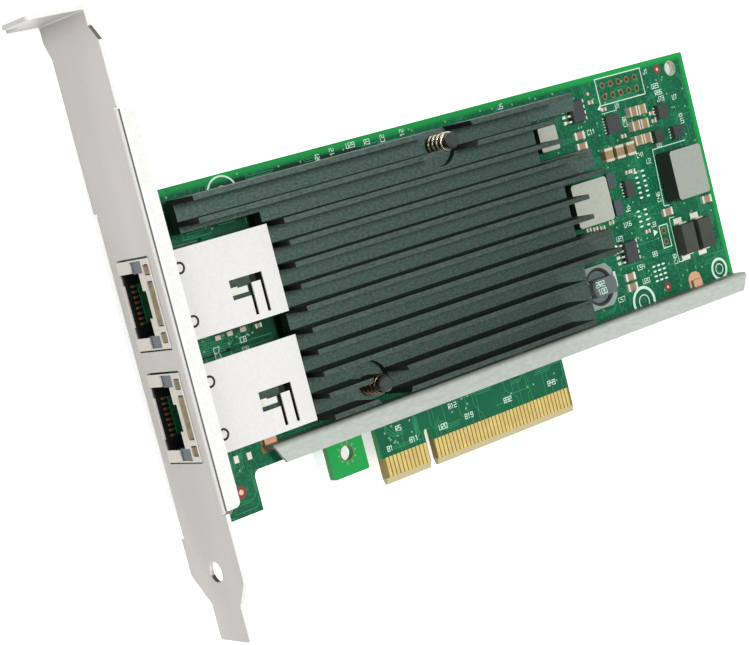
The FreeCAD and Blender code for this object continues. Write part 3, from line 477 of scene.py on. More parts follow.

# %% [markdown]
# ## Contacts and shells
# Contacts, springs and copper pads change colour along the card, so their maker takes two colours
# and the place where they change. Deeper in the mouth the contacts are painted dark green as
# painted shade and reflection, and the copper pad nearer the bracket is painted dark olive as
# painted shade; the spring nearer the bracket is coloured dark and the other pale. A socket's shell
# is tinned sheet, bright on its long sides and satin elsewhere, and its upward faces are painted
# paler as painted light. Facing picks out the long sides and the top, so one material serves the
# whole shell.

# %% Contacts and shells
def two_tone(name, near, far, split, rough=0.4, metal=0.0):
    """One colour up to a place along X, another past it."""
    material, tree, surface = new_material(name)
    noise = noise_on_object(tree, 900)
    spot, _ = coordinates(tree)
    colour = blend_colours(tree, noise.outputs["Fac"], *around(near, 0.15))
    past = ramp(tree, spot["X"], split - 2 * SOFT_EDGE, split + 2 * SOFT_EDGE)
    colour = over(tree, colour, far, past)
    tree.links.new(colour, surface.inputs["Base Color"])
    surface.inputs["Roughness"].default_value = rough
    surface.inputs["Metallic"].default_value = metal
    return material


def shell_finish():
    """Tinned sheet, satin, with upward faces painted paler as painted light, and bright as a mirror
    on its long sides.
    """
    material, tree, surface = new_material("tinned_shell")
    noise = noise_on_object(tree, 80)
    spot, facing = coordinates(tree)
    colour = blend_colours(tree, noise.outputs["Fac"], srgb(176, 170, 160), srgb(182, 176, 166))
    # painted light: upward faces are painted paler
    colour = over(tree, colour, srgb(214, 213, 211), facing["Z"])
    grain = noise_on_object(tree, 1800)
    colour = scaled(tree, colour, grain.outputs["Fac"], NOISE_SPAN, (0.94, 1.01))
    side = band(tree, facing["Y"], 0.5, 2)
    tree.links.new(over(tree, colour, srgb(158, 160, 154), side), surface.inputs["Base Color"])
    for title, plain, polished in (("Metallic", 0.15, 1.0), ("Roughness", 0.38, 0.14)):
        level = ramp(tree, side, 0, 1)
        level.node.inputs["To Min"].default_value = plain
        level.node.inputs["To Max"].default_value = polished
        tree.links.new(level, surface.inputs[title])
    return material


tinned_shell = shell_finish()
print("shell finish nodes:", len(tinned_shell.node_tree.nodes))

# %% [markdown]
# ## All finishes
# Each finish is named for the real surface, such as plating, moulding, fired ceramic or
# lacquer. One table keeps them together, so that a colour is changed in one place.

# %% Finishes
FINISHES = {
    "board": solder_mask,
    "gold": finish("gold_plate", srgb(214, 190, 118), 0.35, 0.35),
    "bracket": bracket_steel,
    # painted shade and reflection: contacts deeper than 1.6 mm into the mouth turn dark green
    "contact": two_tone("contact_gold", srgb(104, 70, 32), srgb(16, 52, 34), 0.0016),
    "nickel": finish("nickel_plate", srgb(190, 188, 180), 0.25, 1.0),
    "sink": anodised,
    "pad": finish("thermal_pad", srgb(160, 165, 172), 0.9),
    "package": finish("epoxy", srgb(46, 52, 52), 0.5, vary=0.15, scale=2500, bump=0.1),
    "pin": finish("pin_plastic", srgb(38, 48, 48), 0.5, vary=0.1, scale=900),
    "spring": two_tone("spring_wire", srgb(84, 68, 44), srgb(226, 216, 188), 0.06, 0.22, 0.9),
    # painted shade: the rail's sides are painted darker than its top
    "rail": shaded_by_facing("rail_aluminium", srgb(168, 174, 167), srgb(120, 124, 112), 0.5, 0.1,
                             vary=0.08, scale=1500, stretch=(0.4, 1, 1),
                             floor_colour=srgb(204, 158, 126), floor_top=0.0012),
    # painted shade: the pad nearer the bracket is painted dark olive, as in the rail's shadow
    "copper": two_tone("copper", srgb(110, 96, 60), srgb(206, 158, 124), 0.06, 0.45, 0.1),
    # painted shade: the cores' sides are painted nearly black
    "core": shaded_by_facing("powder_core", srgb(140, 146, 137), srgb(26, 34, 26), 0.6,
                             vary=0.06, scale=1500),
    "core_light": shaded_by_facing("powder_core_light", srgb(158, 162, 150), srgb(40, 46, 38), 0.55,
                                   vary=0.06, scale=1500),
    "drum": finish("ferrite", srgb(84, 96, 98), 0.35),
    "clip": finish("clip_plastic", srgb(124, 140, 136), 0.4, vary=0.03),
    "tin": finish("tinned", srgb(226, 226, 212), 0.35, 0.4),
    "case": finish("capacitor_case", srgb(52, 56, 46), 0.5),
    "dull_tin": finish("dull_tin", srgb(200, 194, 172), 0.4, 0.3),
    "ceramic": finish("fired_ceramic", srgb(138, 116, 84), 0.5, vary=0.15, scale=800),
    "coating": finish("resistor_coating", srgb(140, 118, 96), 0.5),
    "shell": tinned_shell,
    "moulding": finish("black_moulding", srgb(16, 22, 20), 0.45),
    "bronze": finish("spring_bronze", srgb(104, 92, 64), 0.36, 0.35, vary=0.35, scale=900),
    "lamp": finish("lamp_window", srgb(52, 62, 72), 0.3, vary=0.15),
    "silk": finish("silk_white", srgb(196, 220, 204), 0.6, vary=0.05),
    "trace": finish("mask_over_trace", srgb(34, 122, 82), 0.32, vary=0.04),
    "via": finish("tented_via", srgb(112, 160, 124), 0.35, vary=0.05),
    "inner": finish("inner_board", srgb(44, 64, 56), 0.5, vary=0.4, scale=1500),
    "chip_grey": finish("chip_grey", srgb(58, 70, 76), 0.5),
    "deep_green": finish("deep_green", srgb(30, 82, 52), 0.3, vary=0.3, scale=500),
    "pinkish": finish("bare_pad", srgb(226, 172, 150), 0.4),
    "dark": finish("dark_hole", srgb(26, 30, 24), 0.7),
    "ring": finish("plated_ring", srgb(136, 114, 68), 0.35, 0.3),
    "rust": finish("bare_ring", srgb(116, 52, 40), 0.5, 0.1),
}
print("finishes:", len(FINISHES))

# %% [markdown]
# ## Which piece has which finish
# The solids arrive without a material. The table gives the start of a piece's name and
# its finish, and the longest start that fits wins, so one line dresses both sockets.

# %% Finish of each piece
NODE_FINISH = {
    "board": "board", "edge_contacts": "gold", "bracket": "bracket",
    "bracket_standoffs": "nickel", "bracket_screws": "nickel", "heatsink": "sink",
    "thermal_pads": "pad", "controller_chip": "package", "phy_chip": "package",
    "push_pins": "pin", "push_pin_springs": "spring", "stiffener": "rail",
    "stiffener_pads": "copper", "large_inductor": "core", "square_inductors": "core_light",
    "inductor_terminals": "tin", "round_inductor_core": "drum", "round_inductor_clip": "clip",
    "power_transistors": "package", "power_transistor_leads": "tin", "small_chips": "package",
    "polymer_capacitors": "case", "polymer_capacitor_ends": "tin",
    "ceramic_capacitors": "ceramic", "ceramic_capacitor_ends": "dull_tin",
    "resistors": "coating", "resistor_ends": "tin", "jack_shell": "shell",
    "jack_housing": "moulding", "jack_contacts": "contact", "jack_earth_spring": "bronze",
    "jack_light_windows": "lamp",
}


def dress(thing, material):
    thing.data.materials.clear()
    thing.data.materials.append(material)


for name, thing in nodes.items():
    prefix = max((k for k in NODE_FINISH if name.startswith(k)), key=len)
    dress(thing, FINISHES[NODE_FINISH[prefix]])
print("dressed nodes:", len(nodes))

# %% [markdown]
# ## Floor finish
# The floor stands for a sheet of white paper. It has to look white without throwing light
# back on the card. The Light Path node lets it glow only for the eye and in reflections.
# A stronger lamp would whiten it too, but it would bleach the card.

# %% Floor finish
FLOOR_GLOW = 0.55


def floor_finish():
    """Pale floor that glows to the eye and in reflections only, so it lights nothing."""
    material, tree, surface = new_material("floor")
    surface.inputs["Base Color"].default_value = (0.9, 0.9, 0.9, 1)
    surface.inputs["Roughness"].default_value = 0.9
    surface.inputs["Emission Color"].default_value = (1, 1, 1, 1)
    ray = add(tree, "ShaderNodeLightPath")
    seen = add(tree, "ShaderNodeMath", operation="MAXIMUM")
    glow = add(tree, "ShaderNodeMath", operation="MULTIPLY")
    glow.inputs[1].default_value = FLOOR_GLOW
    tree.links.new(ray.outputs["Is Camera Ray"], seen.inputs[0])
    tree.links.new(ray.outputs["Is Glossy Ray"], seen.inputs[1])
    tree.links.new(seen.outputs["Value"], glow.inputs[0])
    tree.links.new(glow.outputs["Value"], surface.inputs["Emission Strength"])
    return material


dress(floor, floor_finish())
print("floor glow", FLOOR_GLOW)

# %% [markdown]
# ## Printed detail on the board
# Silk lines, lettering, traces, via rings and pads are films a few hundredths of a
# millimetre thick on the real board. A picture mapped on the board could hold them, but
# flat shapes stay sharp at any distance and need no image, so that way was chosen. Each
# shape lies a hair above the one before, so that shapes that cross don't flicker, and
# after a few steps the rise starts again, so that the film stays thin. Places are in
# millimetres on the board, as in the CAD.

# %% Flat shapes
STEP_UP, STEPS_UP = 0.0005, 24


class Print:
    """Flat shapes at nearly one height, gathered into one piece."""

    def __init__(self, lift):
        self.z = lift
        self.points = []
        self.faces = []

    def shape(self, outline):
        start = len(self.points)
        z = (self.z + STEP_UP * (len(self.faces) % STEPS_UP)) * MM
        self.points += [(x * MM, y * MM, z) for x, y in outline]
        self.faces.append(tuple(range(start, start + len(outline))))

    def box(self, x, y, wide, tall):
        self.shape([(x - wide / 2, y - tall / 2), (x + wide / 2, y - tall / 2),
                    (x + wide / 2, y + tall / 2), (x - wide / 2, y + tall / 2)])

    def line(self, path, width):
        for (x0, y0), (x1, y1) in zip(path, path[1:]):
            length = math.hypot(x1 - x0, y1 - y0)
            if length < 1e-6:
                continue
            along = ((x1 - x0) / length * width / 2, (y1 - y0) / length * width / 2)
            x0, y0, x1, y1 = x0 - along[0], y0 - along[1], x1 + along[0], y1 + along[1]
            side = (-along[1], along[0])
            self.shape([(x0 - side[0], y0 - side[1]), (x1 - side[0], y1 - side[1]),
                        (x1 + side[0], y1 + side[1]), (x0 + side[0], y0 + side[1])])

    def frame(self, x0, y0, x1, y1, width=0.2):
        corners = ((x0, y0), (x1, y0), (x1, y1), (x0, y1))
        for k in range(4):
            self.line((corners[k], corners[(k + 1) % 4]), width)

    def ring(self, x, y, inner, outer, start=0, sweep=360, steps=32):
        angles = [math.radians(start + sweep * i / steps) for i in range(steps + 1)]
        for a, b in zip(angles, angles[1:]):
            self.shape([(x + inner * math.cos(a), y + inner * math.sin(a)),
                        (x + outer * math.cos(a), y + outer * math.sin(a)),
                        (x + outer * math.cos(b), y + outer * math.sin(b)),
                        (x + inner * math.cos(b), y + inner * math.sin(b))])

    def disc(self, x, y, radius, steps=16):
        angles = [2 * math.pi * i / steps for i in range(steps)]
        self.shape([(x + radius * math.cos(a), y + radius * math.sin(a)) for a in angles])

    def piece(self, name, finish_name):
        return add_piece(name, self.points, self.faces, finish_name)


def add_piece(name, points, faces, finish_name):
    """A mesh that belongs to the card and rides on its one body."""
    mesh = bpy.data.meshes.new(name)
    mesh.from_pydata(points, [], faces)
    mesh.update()
    piece = bpy.data.objects.new(name, mesh)
    scene.collection.objects.link(piece)
    dress(piece, FINISHES[finish_name])
    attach(piece, "root")
    return piece


print("flat shapes rise by", STEP_UP, "mm each")

# %% [markdown]
# ## Lettering
# A board's labels are printed in a plain stroke lettering. A text object with a font
# would do, but it has to be turned into a mesh and brings many points, so each letter is
# drawn as a few strokes on a grid. The labels are generic and name no real part.

# %% Lettering
# letters on a grid 1 wide and 2 high
A0, A1, A2, B0, B1, B2 = (0, 0), (0, 1), (0, 2), (1, 0), (1, 1), (1, 2)
STROKES = {
    "0": [(A0, A2, B2, B0, A0)], "1": [((0.5, 0), (0.5, 2), (0.1, 1.6))],
    "2": [(A2, B2, B1, A1, A0, B0)], "3": [(A2, B2, B0, A0), (A1, B1)],
    "4": [(A2, A1, B1), (B2, B0)], "5": [(B2, A2, A1, B1, B0, A0)],
    "6": [(B2, A2, A0, B0, B1, A1)], "7": [(A2, B2, (0.4, 0))],
    "8": [(A0, A2, B2, B0, A0), (A1, B1)], "9": [(B1, A1, A2, B2, B0, A0)],
    "B": [(A0, A2, B2, B0, A0), (A1, B1)], "C": [(B2, A2, A0, B0)], "J": [(B2, B0, A0, (0, 0.6))],
    "L": [(A2, A0, B0)], "R": [(A0, A2, B2, B1, A1, B0)], "U": [(A2, A0, B0, B2)],
}


def write(sheet, words, x, y, size=1.0, width=0.14, turned=False):
    """Stroke lettering, reading along X, or up Y if turned, centred on x, y."""
    step = size * 0.78
    start = -len(words) * step / 2
    for k, letter in enumerate(words):
        for stroke in STROKES[letter]:
            path = []
            for a, b in stroke:
                u = start + (k + 0.1 + a * 0.7) * step
                v = (b - 1) * size / 2
                path.append((x - v, y + u) if turned else (x + u, y + v))
            sheet.line(path, width)


print("letters", "".join(sorted(STROKES)))

# %% [markdown]
# ## Silk screen
# The white print marks outlines, pin ones and plain reference labels. Frames and rings
# are drawn from a place and a size, and the labels come from one list.

# %% Silk screen
silk = Print(0.03)
HEADER = (128.5, 63.5)
PITCH = 2.54
silk.frame(HEADER[0] - 1.9, HEADER[1] - 1.7, HEADER[0] + 4 * PITCH + 2.2, HEADER[1] + PITCH + 1.7)
silk.shape([(125.4, 61.2), (126.7, 60.6), (126.4, 62.0)])
JUMPER = (136.5, 28.4)
silk.frame(JUMPER[0] - 1.2, JUMPER[1] - 1.3, JUMPER[0] + 1.4, JUMPER[1] + PITCH + 1.3)
silk.shape([(133.2, 30.4), (134.6, 31.1), (133.4, 31.9)])
OUTLINES = (
    (((139.0, 49.2), (138.4, 36.3), (140.0, 36.1)), 0.2),
    (((139.0, 49.2), (149.6, 49.2)), 0.2),
    (((140.6, 33.2), (139.0, 33.2), (139.0, 23.0), (140.2, 23.0)), 0.16),
    (((126.4, 60.0), (131.0, 60.0)), 0.15),
)
for path, width in OUTLINES:
    silk.line(path, width)
ROUND_MARKS = ((125.6, 17.2, 3.5, 0.65), (150.9, 18.4, 2.6, 0.6), (25.2, 65.0, 3.6, 0.35))
for x, y, radius, width in ROUND_MARKS:
    silk.ring(x, y, radius - width, radius)
    silk.ring(x, y, radius * 0.4, radius * 0.4 + width * 0.4, steps=20)
LABELS = (
    ("J1", 142.4, 66.6), ("C11", 122.0, 56.9), ("U1", 131.6, 60.9), ("U7", 149.6, 59.3),
    ("U9", 141.4, 49.9), ("C41", 134.9, 48.9), ("L2", 137.0, 47.0), ("J2", 127.4, 38.1),
    ("U16", 126.2, 34.9), ("J3", 133.9, 33.0), ("U21", 122.9, 32.4), ("B3", 132.2, 26.6),
    ("C54", 127.1, 24.8), ("U20", 127.7, 21.5), ("C57", 119.2, 19.4), ("C7", 15.0, 36.7),
    ("C8", 21.3, 37.1), ("U29", 57.4, 67.7), ("R3", 61.6, 67.5), ("U23", 144.4, 62.9),
    ("R85", 145.0, 61.3), ("J73", 145.2, 59.8), ("J5", 98.2, 67.4), ("B1", 48.3, 6.9),
    ("B11", 54.6, 7.0), ("B19", 69.8, 7.4), ("B32", 80.8, 7.6), ("B49", 93.6, 7.6),
    ("U20", 62.6, 7.2), ("R12", 66.2, 10.6), ("R5", 51.5, 10.2),
)
TURNED_LABELS = (
    ("C38", 132.6, 57.0), ("U10", 150.2, 54.2), ("C46", 137.4, 38.6), ("C49", 138.0, 24.0),
    ("R1", 48.8, 67.2), ("12", 52.5, 67.4), ("C2", 65.6, 67.4), ("12", 70.8, 67.5),
)
for words, x, y in LABELS:
    write(silk, words, x, y)
for words, x, y in TURNED_LABELS:
    write(silk, words, x, y, turned=True)
silk.piece("silk_screen", "silk")
print("silk faces", len(silk.faces))

# %% [markdown]
# ## Rings and holes
# A plated hole shows a metal ring and a dark middle. The header's holes are small and
# closed in the solids, so a ring and a dark disc stand for each of them. The real holes
# in the corner and the tab only get their rings and marks.

# %% Rings and holes
TAB_HOLE, CORNER_HOLE = (37.9, 9.2), (150.3, 65.9)
BARE_SPOTS, LONE_DOT, LOW_SPOT = ((146.2, 66.4), (133.7, 18.5)), (123.7, 65.1), (12.1, 9.3)
rings = Print(0.03)
holes = Print(0.04)
for row in range(2):
    for column in range(5):
        x, y = HEADER[0] + column * PITCH, HEADER[1] + row * PITCH
        rings.ring(x, y, 0.45, 0.74, steps=20)
        holes.disc(x, y, 0.46)
for row in range(2):
    rings.ring(JUMPER[0], JUMPER[1] + row * PITCH, 0.4, 0.75, steps=20)
    holes.disc(JUMPER[0], JUMPER[1] + row * PITCH, 0.41)
rings.ring(*TAB_HOLE, 1.52, 1.66)
rings.piece("plated_rings", "ring")
hole_marks = Print(0.03)
hole_marks.ring(*CORNER_HOLE, 1.6, 1.78)
for k in range(10):
    hole_marks.ring(*TAB_HOLE, 1.85, 2.3, start=k * 36, sweep=8, steps=1)
hole_marks.piece("hole_marks", "via")
bare = Print(0.03)
bare.ring(*LOW_SPOT, 0.5, 1.3)
for x, y in BARE_SPOTS:
    bare.ring(x, y, 0.35, 1.05)
bare.piece("bare_rings", "rust")
dots = Print(0.035)
for x, y in (*BARE_SPOTS, LONE_DOT):
    dots.disc(x, y, 0.36)
dots.disc(*LOW_SPOT, 0.55)
dots.piece("solder_dots", "pinkish")
holes.piece("hole_shadows", "dark")
print("header and jumper holes", len(holes.faces))

# %% [markdown]
# ## Traces
# Copper runs show through the mask as faint raised lines in bundles that turn by 45
# degrees. A random walk with a fixed seed gives that look in the bare areas, and short
# runs fan out from the edge contacts. The real routing can't be known from outside.

# %% Traces
# left, low, right, high and the number of bundles
TRACE_AREAS = (
    (103.0, 17.2, 153.6, 66.5, 120), (47.2, 6.2, 56.4, 12.3, 8), (61.0, 6.2, 97.0, 12.3, 8),
    (1.9, 58.4, 28.8, 68.3, 16), (1.9, 36.6, 28.5, 40.2, 12), (1.9, 5.0, 15.6, 18.5, 12),
    (28.0, 66.6, 125.0, 68.4, 10),
)
TRACE_WIDTH, TRACE_PITCH = 0.17, 0.42


def add_traces(sheet, area, chance):
    """Bundles of parallel conductors that turn by 45 degrees."""
    x0, y0, x1, y1, count = area
    for _ in range(count):
        x = chance.uniform(x0, x1)
        y = chance.uniform(y0, y1)
        direction = chance.choice((0, 90, 180, 270))
        path = [(x, y)]
        for length in (chance.uniform(1, 6), chance.uniform(0.5, 2.5), chance.uniform(1, 6)):
            angle = math.radians(direction)
            x = min(max(x + length * math.cos(angle), x0), x1)
            y = min(max(y + length * math.sin(angle), y0), y1)
            path.append((x, y))
            direction += chance.choice((-45, 45))
        for k in range(chance.choice((1, 2, 3))):
            shift = k * TRACE_PITCH
            sheet.line([(min(a + shift, x1), min(b + shift, y1)) for a, b in path], TRACE_WIDTH)


chance = random.Random(7)
traces = Print(0.012)
for area in TRACE_AREAS:
    add_traces(traces, area, chance)
FAN_FOOT, FAN_WIDTH = 5.7, 0.15
CONTACT_ROWS = ((46.9, 11), (60.5, 38))
for start, count in CONTACT_ROWS:
    for k in range(count):
        if chance.random() < 0.45:
            continue
        x = start + k
        bend = FAN_FOOT + chance.uniform(0.8, 3.2)
        side = chance.choice((-0.8, 0, 0.8))
        end = chance.uniform(10.5, 13.5)
        path = ((x, FAN_FOOT), (x, bend), (x + side, bend + 0.8), (x + side, end))
        traces.line(path, FAN_WIDTH)
traces.piece("traces", "trace")
print("trace faces", len(traces.faces))

# %% [markdown]
# ## Small repeated parts
# Vias, chip parts and their ends repeat by the hundred and differ only in place and size.
# One node tree puts a block or a short post on every point of a mesh, with named inputs
# for its size, shape and material. Copies made in a loop would look the same, but the
# tree is one thing to change. The result is realised into a plain mesh.

# %% Scatter tree
def group_ends(tree, **kinds):
    """The two ends of a node group with named inputs and geometry out."""
    for title, kind in kinds.items():
        tree.interface.new_socket(title, in_out="INPUT", socket_type="NodeSocket" + kind)
    tree.interface.new_socket("Geometry", in_out="OUTPUT", socket_type="NodeSocketGeometry")
    return tree.nodes.new("NodeGroupInput"), tree.nodes.new("NodeGroupOutput")


def scatter_tree():
    """Geometry Nodes: a block, or a post where Round is set, of one Size on every vertex."""
    tree = bpy.data.node_groups.new("scatter", "GeometryNodeTree")
    start, end = group_ends(tree, Geometry="Geometry", Size="Vector", Round="Bool",
                            Material="Material")
    cube = tree.nodes.new("GeometryNodeMeshCube")
    post = tree.nodes.new("GeometryNodeMeshCylinder")
    post.inputs["Vertices"].default_value = 12
    post.inputs["Radius"].default_value = 0.5
    post.inputs["Depth"].default_value = 1.0
    sized = tree.nodes.new("GeometryNodeTransform")
    pick = tree.nodes.new("GeometryNodeSwitch")
    pick.input_type = "GEOMETRY"
    place = tree.nodes.new("GeometryNodeInstanceOnPoints")
    real = tree.nodes.new("GeometryNodeRealizeInstances")
    paint = tree.nodes.new("GeometryNodeSetMaterial")
    link = tree.links.new
    link(start.outputs["Size"], sized.inputs["Scale"])
    link(start.outputs["Round"], pick.inputs["Switch"])
    link(cube.outputs["Mesh"], pick.inputs["False"])
    link(post.outputs["Mesh"], pick.inputs["True"])
    link(pick.outputs["Output"], sized.inputs["Geometry"])
    link(start.outputs["Geometry"], place.inputs["Points"])
    link(sized.outputs["Geometry"], place.inputs["Instance"])
    link(place.outputs["Instances"], real.inputs["Geometry"])
    link(real.outputs["Geometry"], paint.inputs["Geometry"])
    link(start.outputs["Material"], paint.inputs["Material"])
    link(paint.outputs["Geometry"], end.inputs["Geometry"])
    return tree


SCATTER = scatter_tree()
print("scatter tree nodes:", len(SCATTER.nodes))

# %% [markdown]
# ## From tree to mesh
# A modifier keeps the copies live, but plain meshes are wanted for the pieces. So the tree runs
# once on a few points, its result is kept as a mesh, and the rest is removed.

# %% Grown pieces
def grown(name, points, tree, values, finish_name):
    """A plain mesh made by a node tree on a few points."""
    mesh = bpy.data.meshes.new(name + "_points")
    mesh.from_pydata(points, [], [])
    seed = bpy.data.objects.new(name + "_points", mesh)
    scene.collection.objects.link(seed)
    modifier = seed.modifiers.new("grow", "NODES")
    modifier.node_group = tree
    for item in tree.interface.items_tree:
        if item.in_out == "INPUT" and item.name in values:
            modifier[item.identifier] = values[item.name]
    seed.update_tag()
    bpy.context.view_layer.update()
    evaluated = seed.evaluated_get(bpy.context.evaluated_depsgraph_get())
    result = bpy.data.meshes.new_from_object(evaluated)
    result.name = name
    bpy.data.objects.remove(seed)
    piece = bpy.data.objects.new(name, result)
    scene.collection.objects.link(piece)
    dress(piece, FINISHES[finish_name])
    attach(piece, "root")
    return piece


def scatter(name, places, size, finish_name, rounded=False):
    """Blocks or posts of one size in millimetres, standing on the board at each place."""
    points = [(x * MM, y * MM, size[2] * MM / 2) for x, y in places]
    values = {"Size": tuple(v * MM for v in size), "Round": rounded,
              "Material": FINISHES[finish_name]}
    return grown(name, points, SCATTER, values, finish_name)


# %% [markdown]
# ## Vias and test pads
# A via is a plated hole that links two copper layers. Lacquer covers it, and it shows as a
# small pale bump. Random places in the traces' areas are enough, since the real ones
# follow the routing. Test pads stand in regular grids, so loops place them.

# %% Vias and test pads
VIAS_PER_BUNDLE, VIA_INSET = 1.5, 0.4
vias = []
for x0, y0, x1, y1, count in TRACE_AREAS:
    for _ in range(int(count * VIAS_PER_BUNDLE)):
        x = chance.uniform(x0 + VIA_INSET, x1 - VIA_INSET)
        y = chance.uniform(y0 + VIA_INSET, y1 - VIA_INSET)
        vias.append((x, y))
scatter("vias", vias, (0.45, 0.45, 0.025), "via", rounded=True)
# left, low, columns, rows, column pitch and row pitch
GRIDS = (
    (132.2, 39.6, 2, 6, 2.2, 1.15), (130.2, 33.4, 2, 4, 2.2, 1.15), (130.9, 20.6, 3, 4, 1.5, 1.1),
)
pads = []
for x, y, columns, rows, across, pitch in GRIDS:
    for i in range(columns):
        for k in range(rows):
            pads.append((x + i * across, y + k * pitch))
scatter("test_pads", pads, (1.05, 0.45, 0.04), "silk", rounded=True)
print("vias", len(vias), "pads", len(pads))

# %% [markdown]
# ## Chip parts
# A chip resistor is a block with a tinned cap at each end. Bodies and caps are scattered
# as two pieces, because everything that one tree scatters has one finish.

# %% Chip parts
SMALL_PARTS = (
    (129.6, 46.0), (131.2, 46.0), (114.2, 36.4), (118.3, 35.9), (116.2, 36.2), (123.6, 63.2),
    (141.0, 57.2), (141.2, 55.4), (127.0, 60.9), (131.0, 54.0), (119.3, 52.4), (121.2, 36.4),
    (131.4, 32.0), (25.2, 38.8),
)
END_OFFSET = 0.55
scatter("tin_ended_parts", ((12.6, 15.7), (15.6, 15.5)), (1.05, 1.4, 0.6), "tin")
scatter("low_tin_parts", ((15.7, 38.9), (18.5, 39.0), (21.6, 39.0)), (1.3, 0.9, 0.4), "dull_tin")
scatter("chip_bodies", SMALL_PARTS, (0.8, 0.8, 0.4), "coating")
ends = [(x + side * END_OFFSET, y) for x, y in SMALL_PARTS for side in (-1, 1)]
scatter("chip_ends", ends, (0.35, 0.85, 0.42), "tin")
print("chip parts", len(SMALL_PARTS))

# %% [markdown]
# ## Leads and solder
# Packages stand on rows of leads, each in its own solder. The large packages have their
# leads in the solids. The finest leads would cost many faces there, and so they are added
# here as small blocks at an even pitch.

# %% Leads and solder
TRANSISTORS, LEAD_ROW, LEAD_PITCH = ((118.3, 62.1), (124.1, 29.0)), 3.1, 1.27
CAPACITOR_PADS = [(x, y) for x in (141.4, 146.9) for y in (31.9, 23.7)]
# middle, width, height and leads on a side
LEADED_CHIPS = (
    (128.4, 57.3, 4.0, 4.1, 6), (143.8, 57.0, 2.9, 3.1, 4), (141.0, 51.8, 2.6, 2.8, 4),
    (147.2, 51.6, 3.1, 2.8, 4), (128.4, 42.5, 2.5, 3.8, 5),
)
LEAD_OUT = 0.2
solder = Print(0.035)
for x, y in TRANSISTORS:
    for side in (-1, 1):
        for k in range(4):
            solder.box(x + side * LEAD_ROW, y + (k - 1.5) * LEAD_PITCH, 0.95, 0.7)
for x, y in CAPACITOR_PADS:
    solder.box(x, y, 2.6, 1.6)
solder.piece("solder_pads", "tin")
leads = []
for x, y, wide, tall, count in LEADED_CHIPS:
    for k in range(count):
        lead_y = y + (k - (count - 1) / 2) * tall / (count + 0.4)
        leads += [(x - wide / 2 - LEAD_OUT, lead_y), (x + wide / 2 + LEAD_OUT, lead_y)]
scatter("fine_leads", leads, (0.55, 0.28, 0.15), "tin")
print("leads", len(leads))

# %% [markdown]
# ## Boards in the sockets
# Small boards inside the sockets show through the cut-outs. In the mouths, deep green plates are a
# painted reflection of green board, and in the gap between each sunk socket and the board, deep
# green strips are painted shade and reflection. Only their faces are seen, so plain blocks are
# enough.

# %% Blocks
def blocks(name, boxes, finish_name):
    """Plain blocks given by their corners in millimetres."""
    points = []
    faces = []
    for x0, x1, y0, y1, z0, z1 in boxes:
        k = len(points)
        corners = ((x0, y0), (x1, y0), (x1, y1), (x0, y1))
        points += [(x * MM, y * MM, z * MM) for z in (z0, z1) for x, y in corners]
        faces += [(k + 3, k + 2, k + 1, k), (k + 4, k + 5, k + 6, k + 7)]
        faces += [(k + a, k + (a + 1) % 4, k + 4 + (a + 1) % 4, k + 4 + a) for a in range(4)]
    return add_piece(name, points, faces, finish_name)


JACK_MIDDLES = (49.2, 27.6)
BAY_GAP = (8.52, 8.83)
SHADE_STRIP_SPAN, SHADE_STRIP_LEVEL = (0.9, 17.7), (-1.1, -0.9)
# painted shade and reflection: deep green strips fill the gap beside each sunk socket
gap_shade_strips = []
for c in JACK_MIDDLES:
    for low, high in ((c - BAY_GAP[1], c - BAY_GAP[0]), (c + BAY_GAP[0], c + BAY_GAP[1])):
        gap_shade_strips.append((*SHADE_STRIP_SPAN, low, high, *SHADE_STRIP_LEVEL))
side_chips = [(122.5, 124.7, 43.6, 47.1, 0, 0.9), (122.8, 125.0, 37.4, 40.9, 0, 0.9)]
inner_boards = [(14.6, 20.8, c - 3.9, c + 0.4, 8.2, 8.5) for c in JACK_MIDDLES]
# painted reflection: deep green plates in the mouths stand for green board reflected there
reflection_plates = [(2.1, 3.6, c - 3.4, c + 3.8, -0.3, -0.1) for c in JACK_MIDDLES]
finger_tips = [(15.6, 17.2, c - 2.5, c - 1.3, 9.12, 9.3) for c in JACK_MIDDLES]
blocks("jack_inner_boards", inner_boards, "inner")
blocks("socket_reflection_plates", reflection_plates, "deep_green")
blocks("socket_gap_shades", gap_shade_strips, "deep_green")
blocks("jack_finger_tips", finger_tips, "tin")
blocks("side_chips", side_chips, "chip_grey")
print("socket gap shades", len(gap_shade_strips))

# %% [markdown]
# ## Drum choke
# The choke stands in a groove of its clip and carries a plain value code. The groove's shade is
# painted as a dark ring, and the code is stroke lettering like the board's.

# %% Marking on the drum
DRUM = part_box("round_inductor_core")
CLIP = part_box("round_inductor_clip")
clip_left, clip_low, clip_right, clip_high = (v / MM for v in (*CLIP[0][:2], *CLIP[1][:2]))
clip_top = CLIP[1][2] / MM
middle = (clip_low + clip_high) / 2
clip_terminals = [
    (clip_left + 0.6, clip_left + 1.5, middle - 1.6, middle + 1.8, clip_top, clip_top + 0.3),
    (clip_right - 0.3, clip_right + 0.8, middle - 1.2, middle + 2.2, 0.2, clip_top),
]
blocks("clip_terminals", clip_terminals, "tin")
drum_x = (DRUM[0][0] + DRUM[1][0]) / 2 / MM
drum_y = (DRUM[0][1] + DRUM[1][1]) / 2 / MM
marking = Print(DRUM[1][2] / MM + 0.02)
for row, words in enumerate(("2R2", "100")):
    write(marking, words, drum_x - 1.5 + row * 0.2, drum_y + 0.8 - row * 1.6, 1.15, 0.15)
marking.piece("drum_marking", "silk")
# painted shade: a dark ring on the clip stands for the shade in its groove
groove_shade = Print(clip_top + 0.02)
groove_shade.ring(drum_x, drum_y, 3.7, 4.2, steps=40)
groove_shade.piece("clip_groove_shade", "dark")
print("choke at", round(drum_x, 2), round(drum_y, 2), "mm")

# %% [markdown]
# ## Pin springs
# The springs under the push pins' heads are round wire. The solids have a six-sided wire
# to keep their faces few, and so the coil is made again here by a node tree: a spiral
# swept with a circle. It takes the solid coil's height and place, and stands in for it.

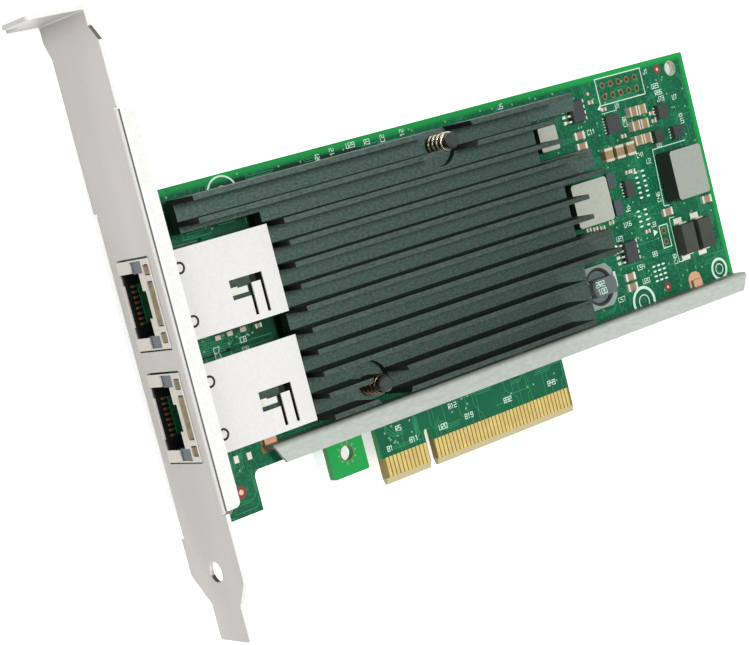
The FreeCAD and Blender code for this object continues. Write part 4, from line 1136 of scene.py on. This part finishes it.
# %% Pin springs
def coil_tree():
    """Geometry Nodes: a round wire wound into a coil, one on every vertex."""
    tree = bpy.data.node_groups.new("coil", "GeometryNodeTree")
    start, end = group_ends(tree, Geometry="Geometry", Turns="Float", Radius="Float",
                            Height="Float", Wire="Float", Material="Material")
    spiral = tree.nodes.new("GeometryNodeCurveSpiral")
    spiral.inputs["Resolution"].default_value = 24
    section = tree.nodes.new("GeometryNodeCurvePrimitiveCircle")
    section.inputs["Resolution"].default_value = 10
    sweep = tree.nodes.new("GeometryNodeCurveToMesh")
    sweep.inputs["Fill Caps"].default_value = True
    place = tree.nodes.new("GeometryNodeInstanceOnPoints")
    real = tree.nodes.new("GeometryNodeRealizeInstances")
    smooth = tree.nodes.new("GeometryNodeSetShadeSmooth")
    paint = tree.nodes.new("GeometryNodeSetMaterial")
    link = tree.links.new
    link(start.outputs["Turns"], spiral.inputs["Rotations"])
    link(start.outputs["Radius"], spiral.inputs["Start Radius"])
    link(start.outputs["Radius"], spiral.inputs["End Radius"])
    link(start.outputs["Height"], spiral.inputs["Height"])
    link(start.outputs["Wire"], section.inputs["Radius"])
    link(spiral.outputs["Curve"], sweep.inputs["Curve"])
    link(section.outputs["Curve"], sweep.inputs["Profile Curve"])
    link(start.outputs["Geometry"], place.inputs["Points"])
    link(sweep.outputs["Mesh"], place.inputs["Instance"])
    link(place.outputs["Instances"], real.inputs["Geometry"])
    link(real.outputs["Geometry"], smooth.inputs["Geometry"])
    link(smooth.outputs["Geometry"], paint.inputs["Geometry"])
    link(start.outputs["Material"], paint.inputs["Material"])
    link(paint.outputs["Geometry"], end.inputs["Geometry"])
    return tree


PIN_PLACES = ((75.0, 63.5), (44.1, 21.3))
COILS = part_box("push_pin_springs")
COIL_TURNS, COIL_RADIUS, WIRE = 4.0, 1.75, 0.27
coil_values = {"Turns": COIL_TURNS, "Radius": COIL_RADIUS * MM, "Wire": WIRE * MM,
               "Height": COILS[1][2] - COILS[0][2] - 2 * WIRE * MM,
               "Material": FINISHES["spring"]}
coil_points = [(x * MM, y * MM, COILS[0][2] + WIRE * MM) for x, y in PIN_PLACES]
coils = grown("spring_coils", coil_points, coil_tree(), coil_values, "spring")
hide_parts("push_pin_springs")
print("coils", len(coils.data.polygons), "faces")
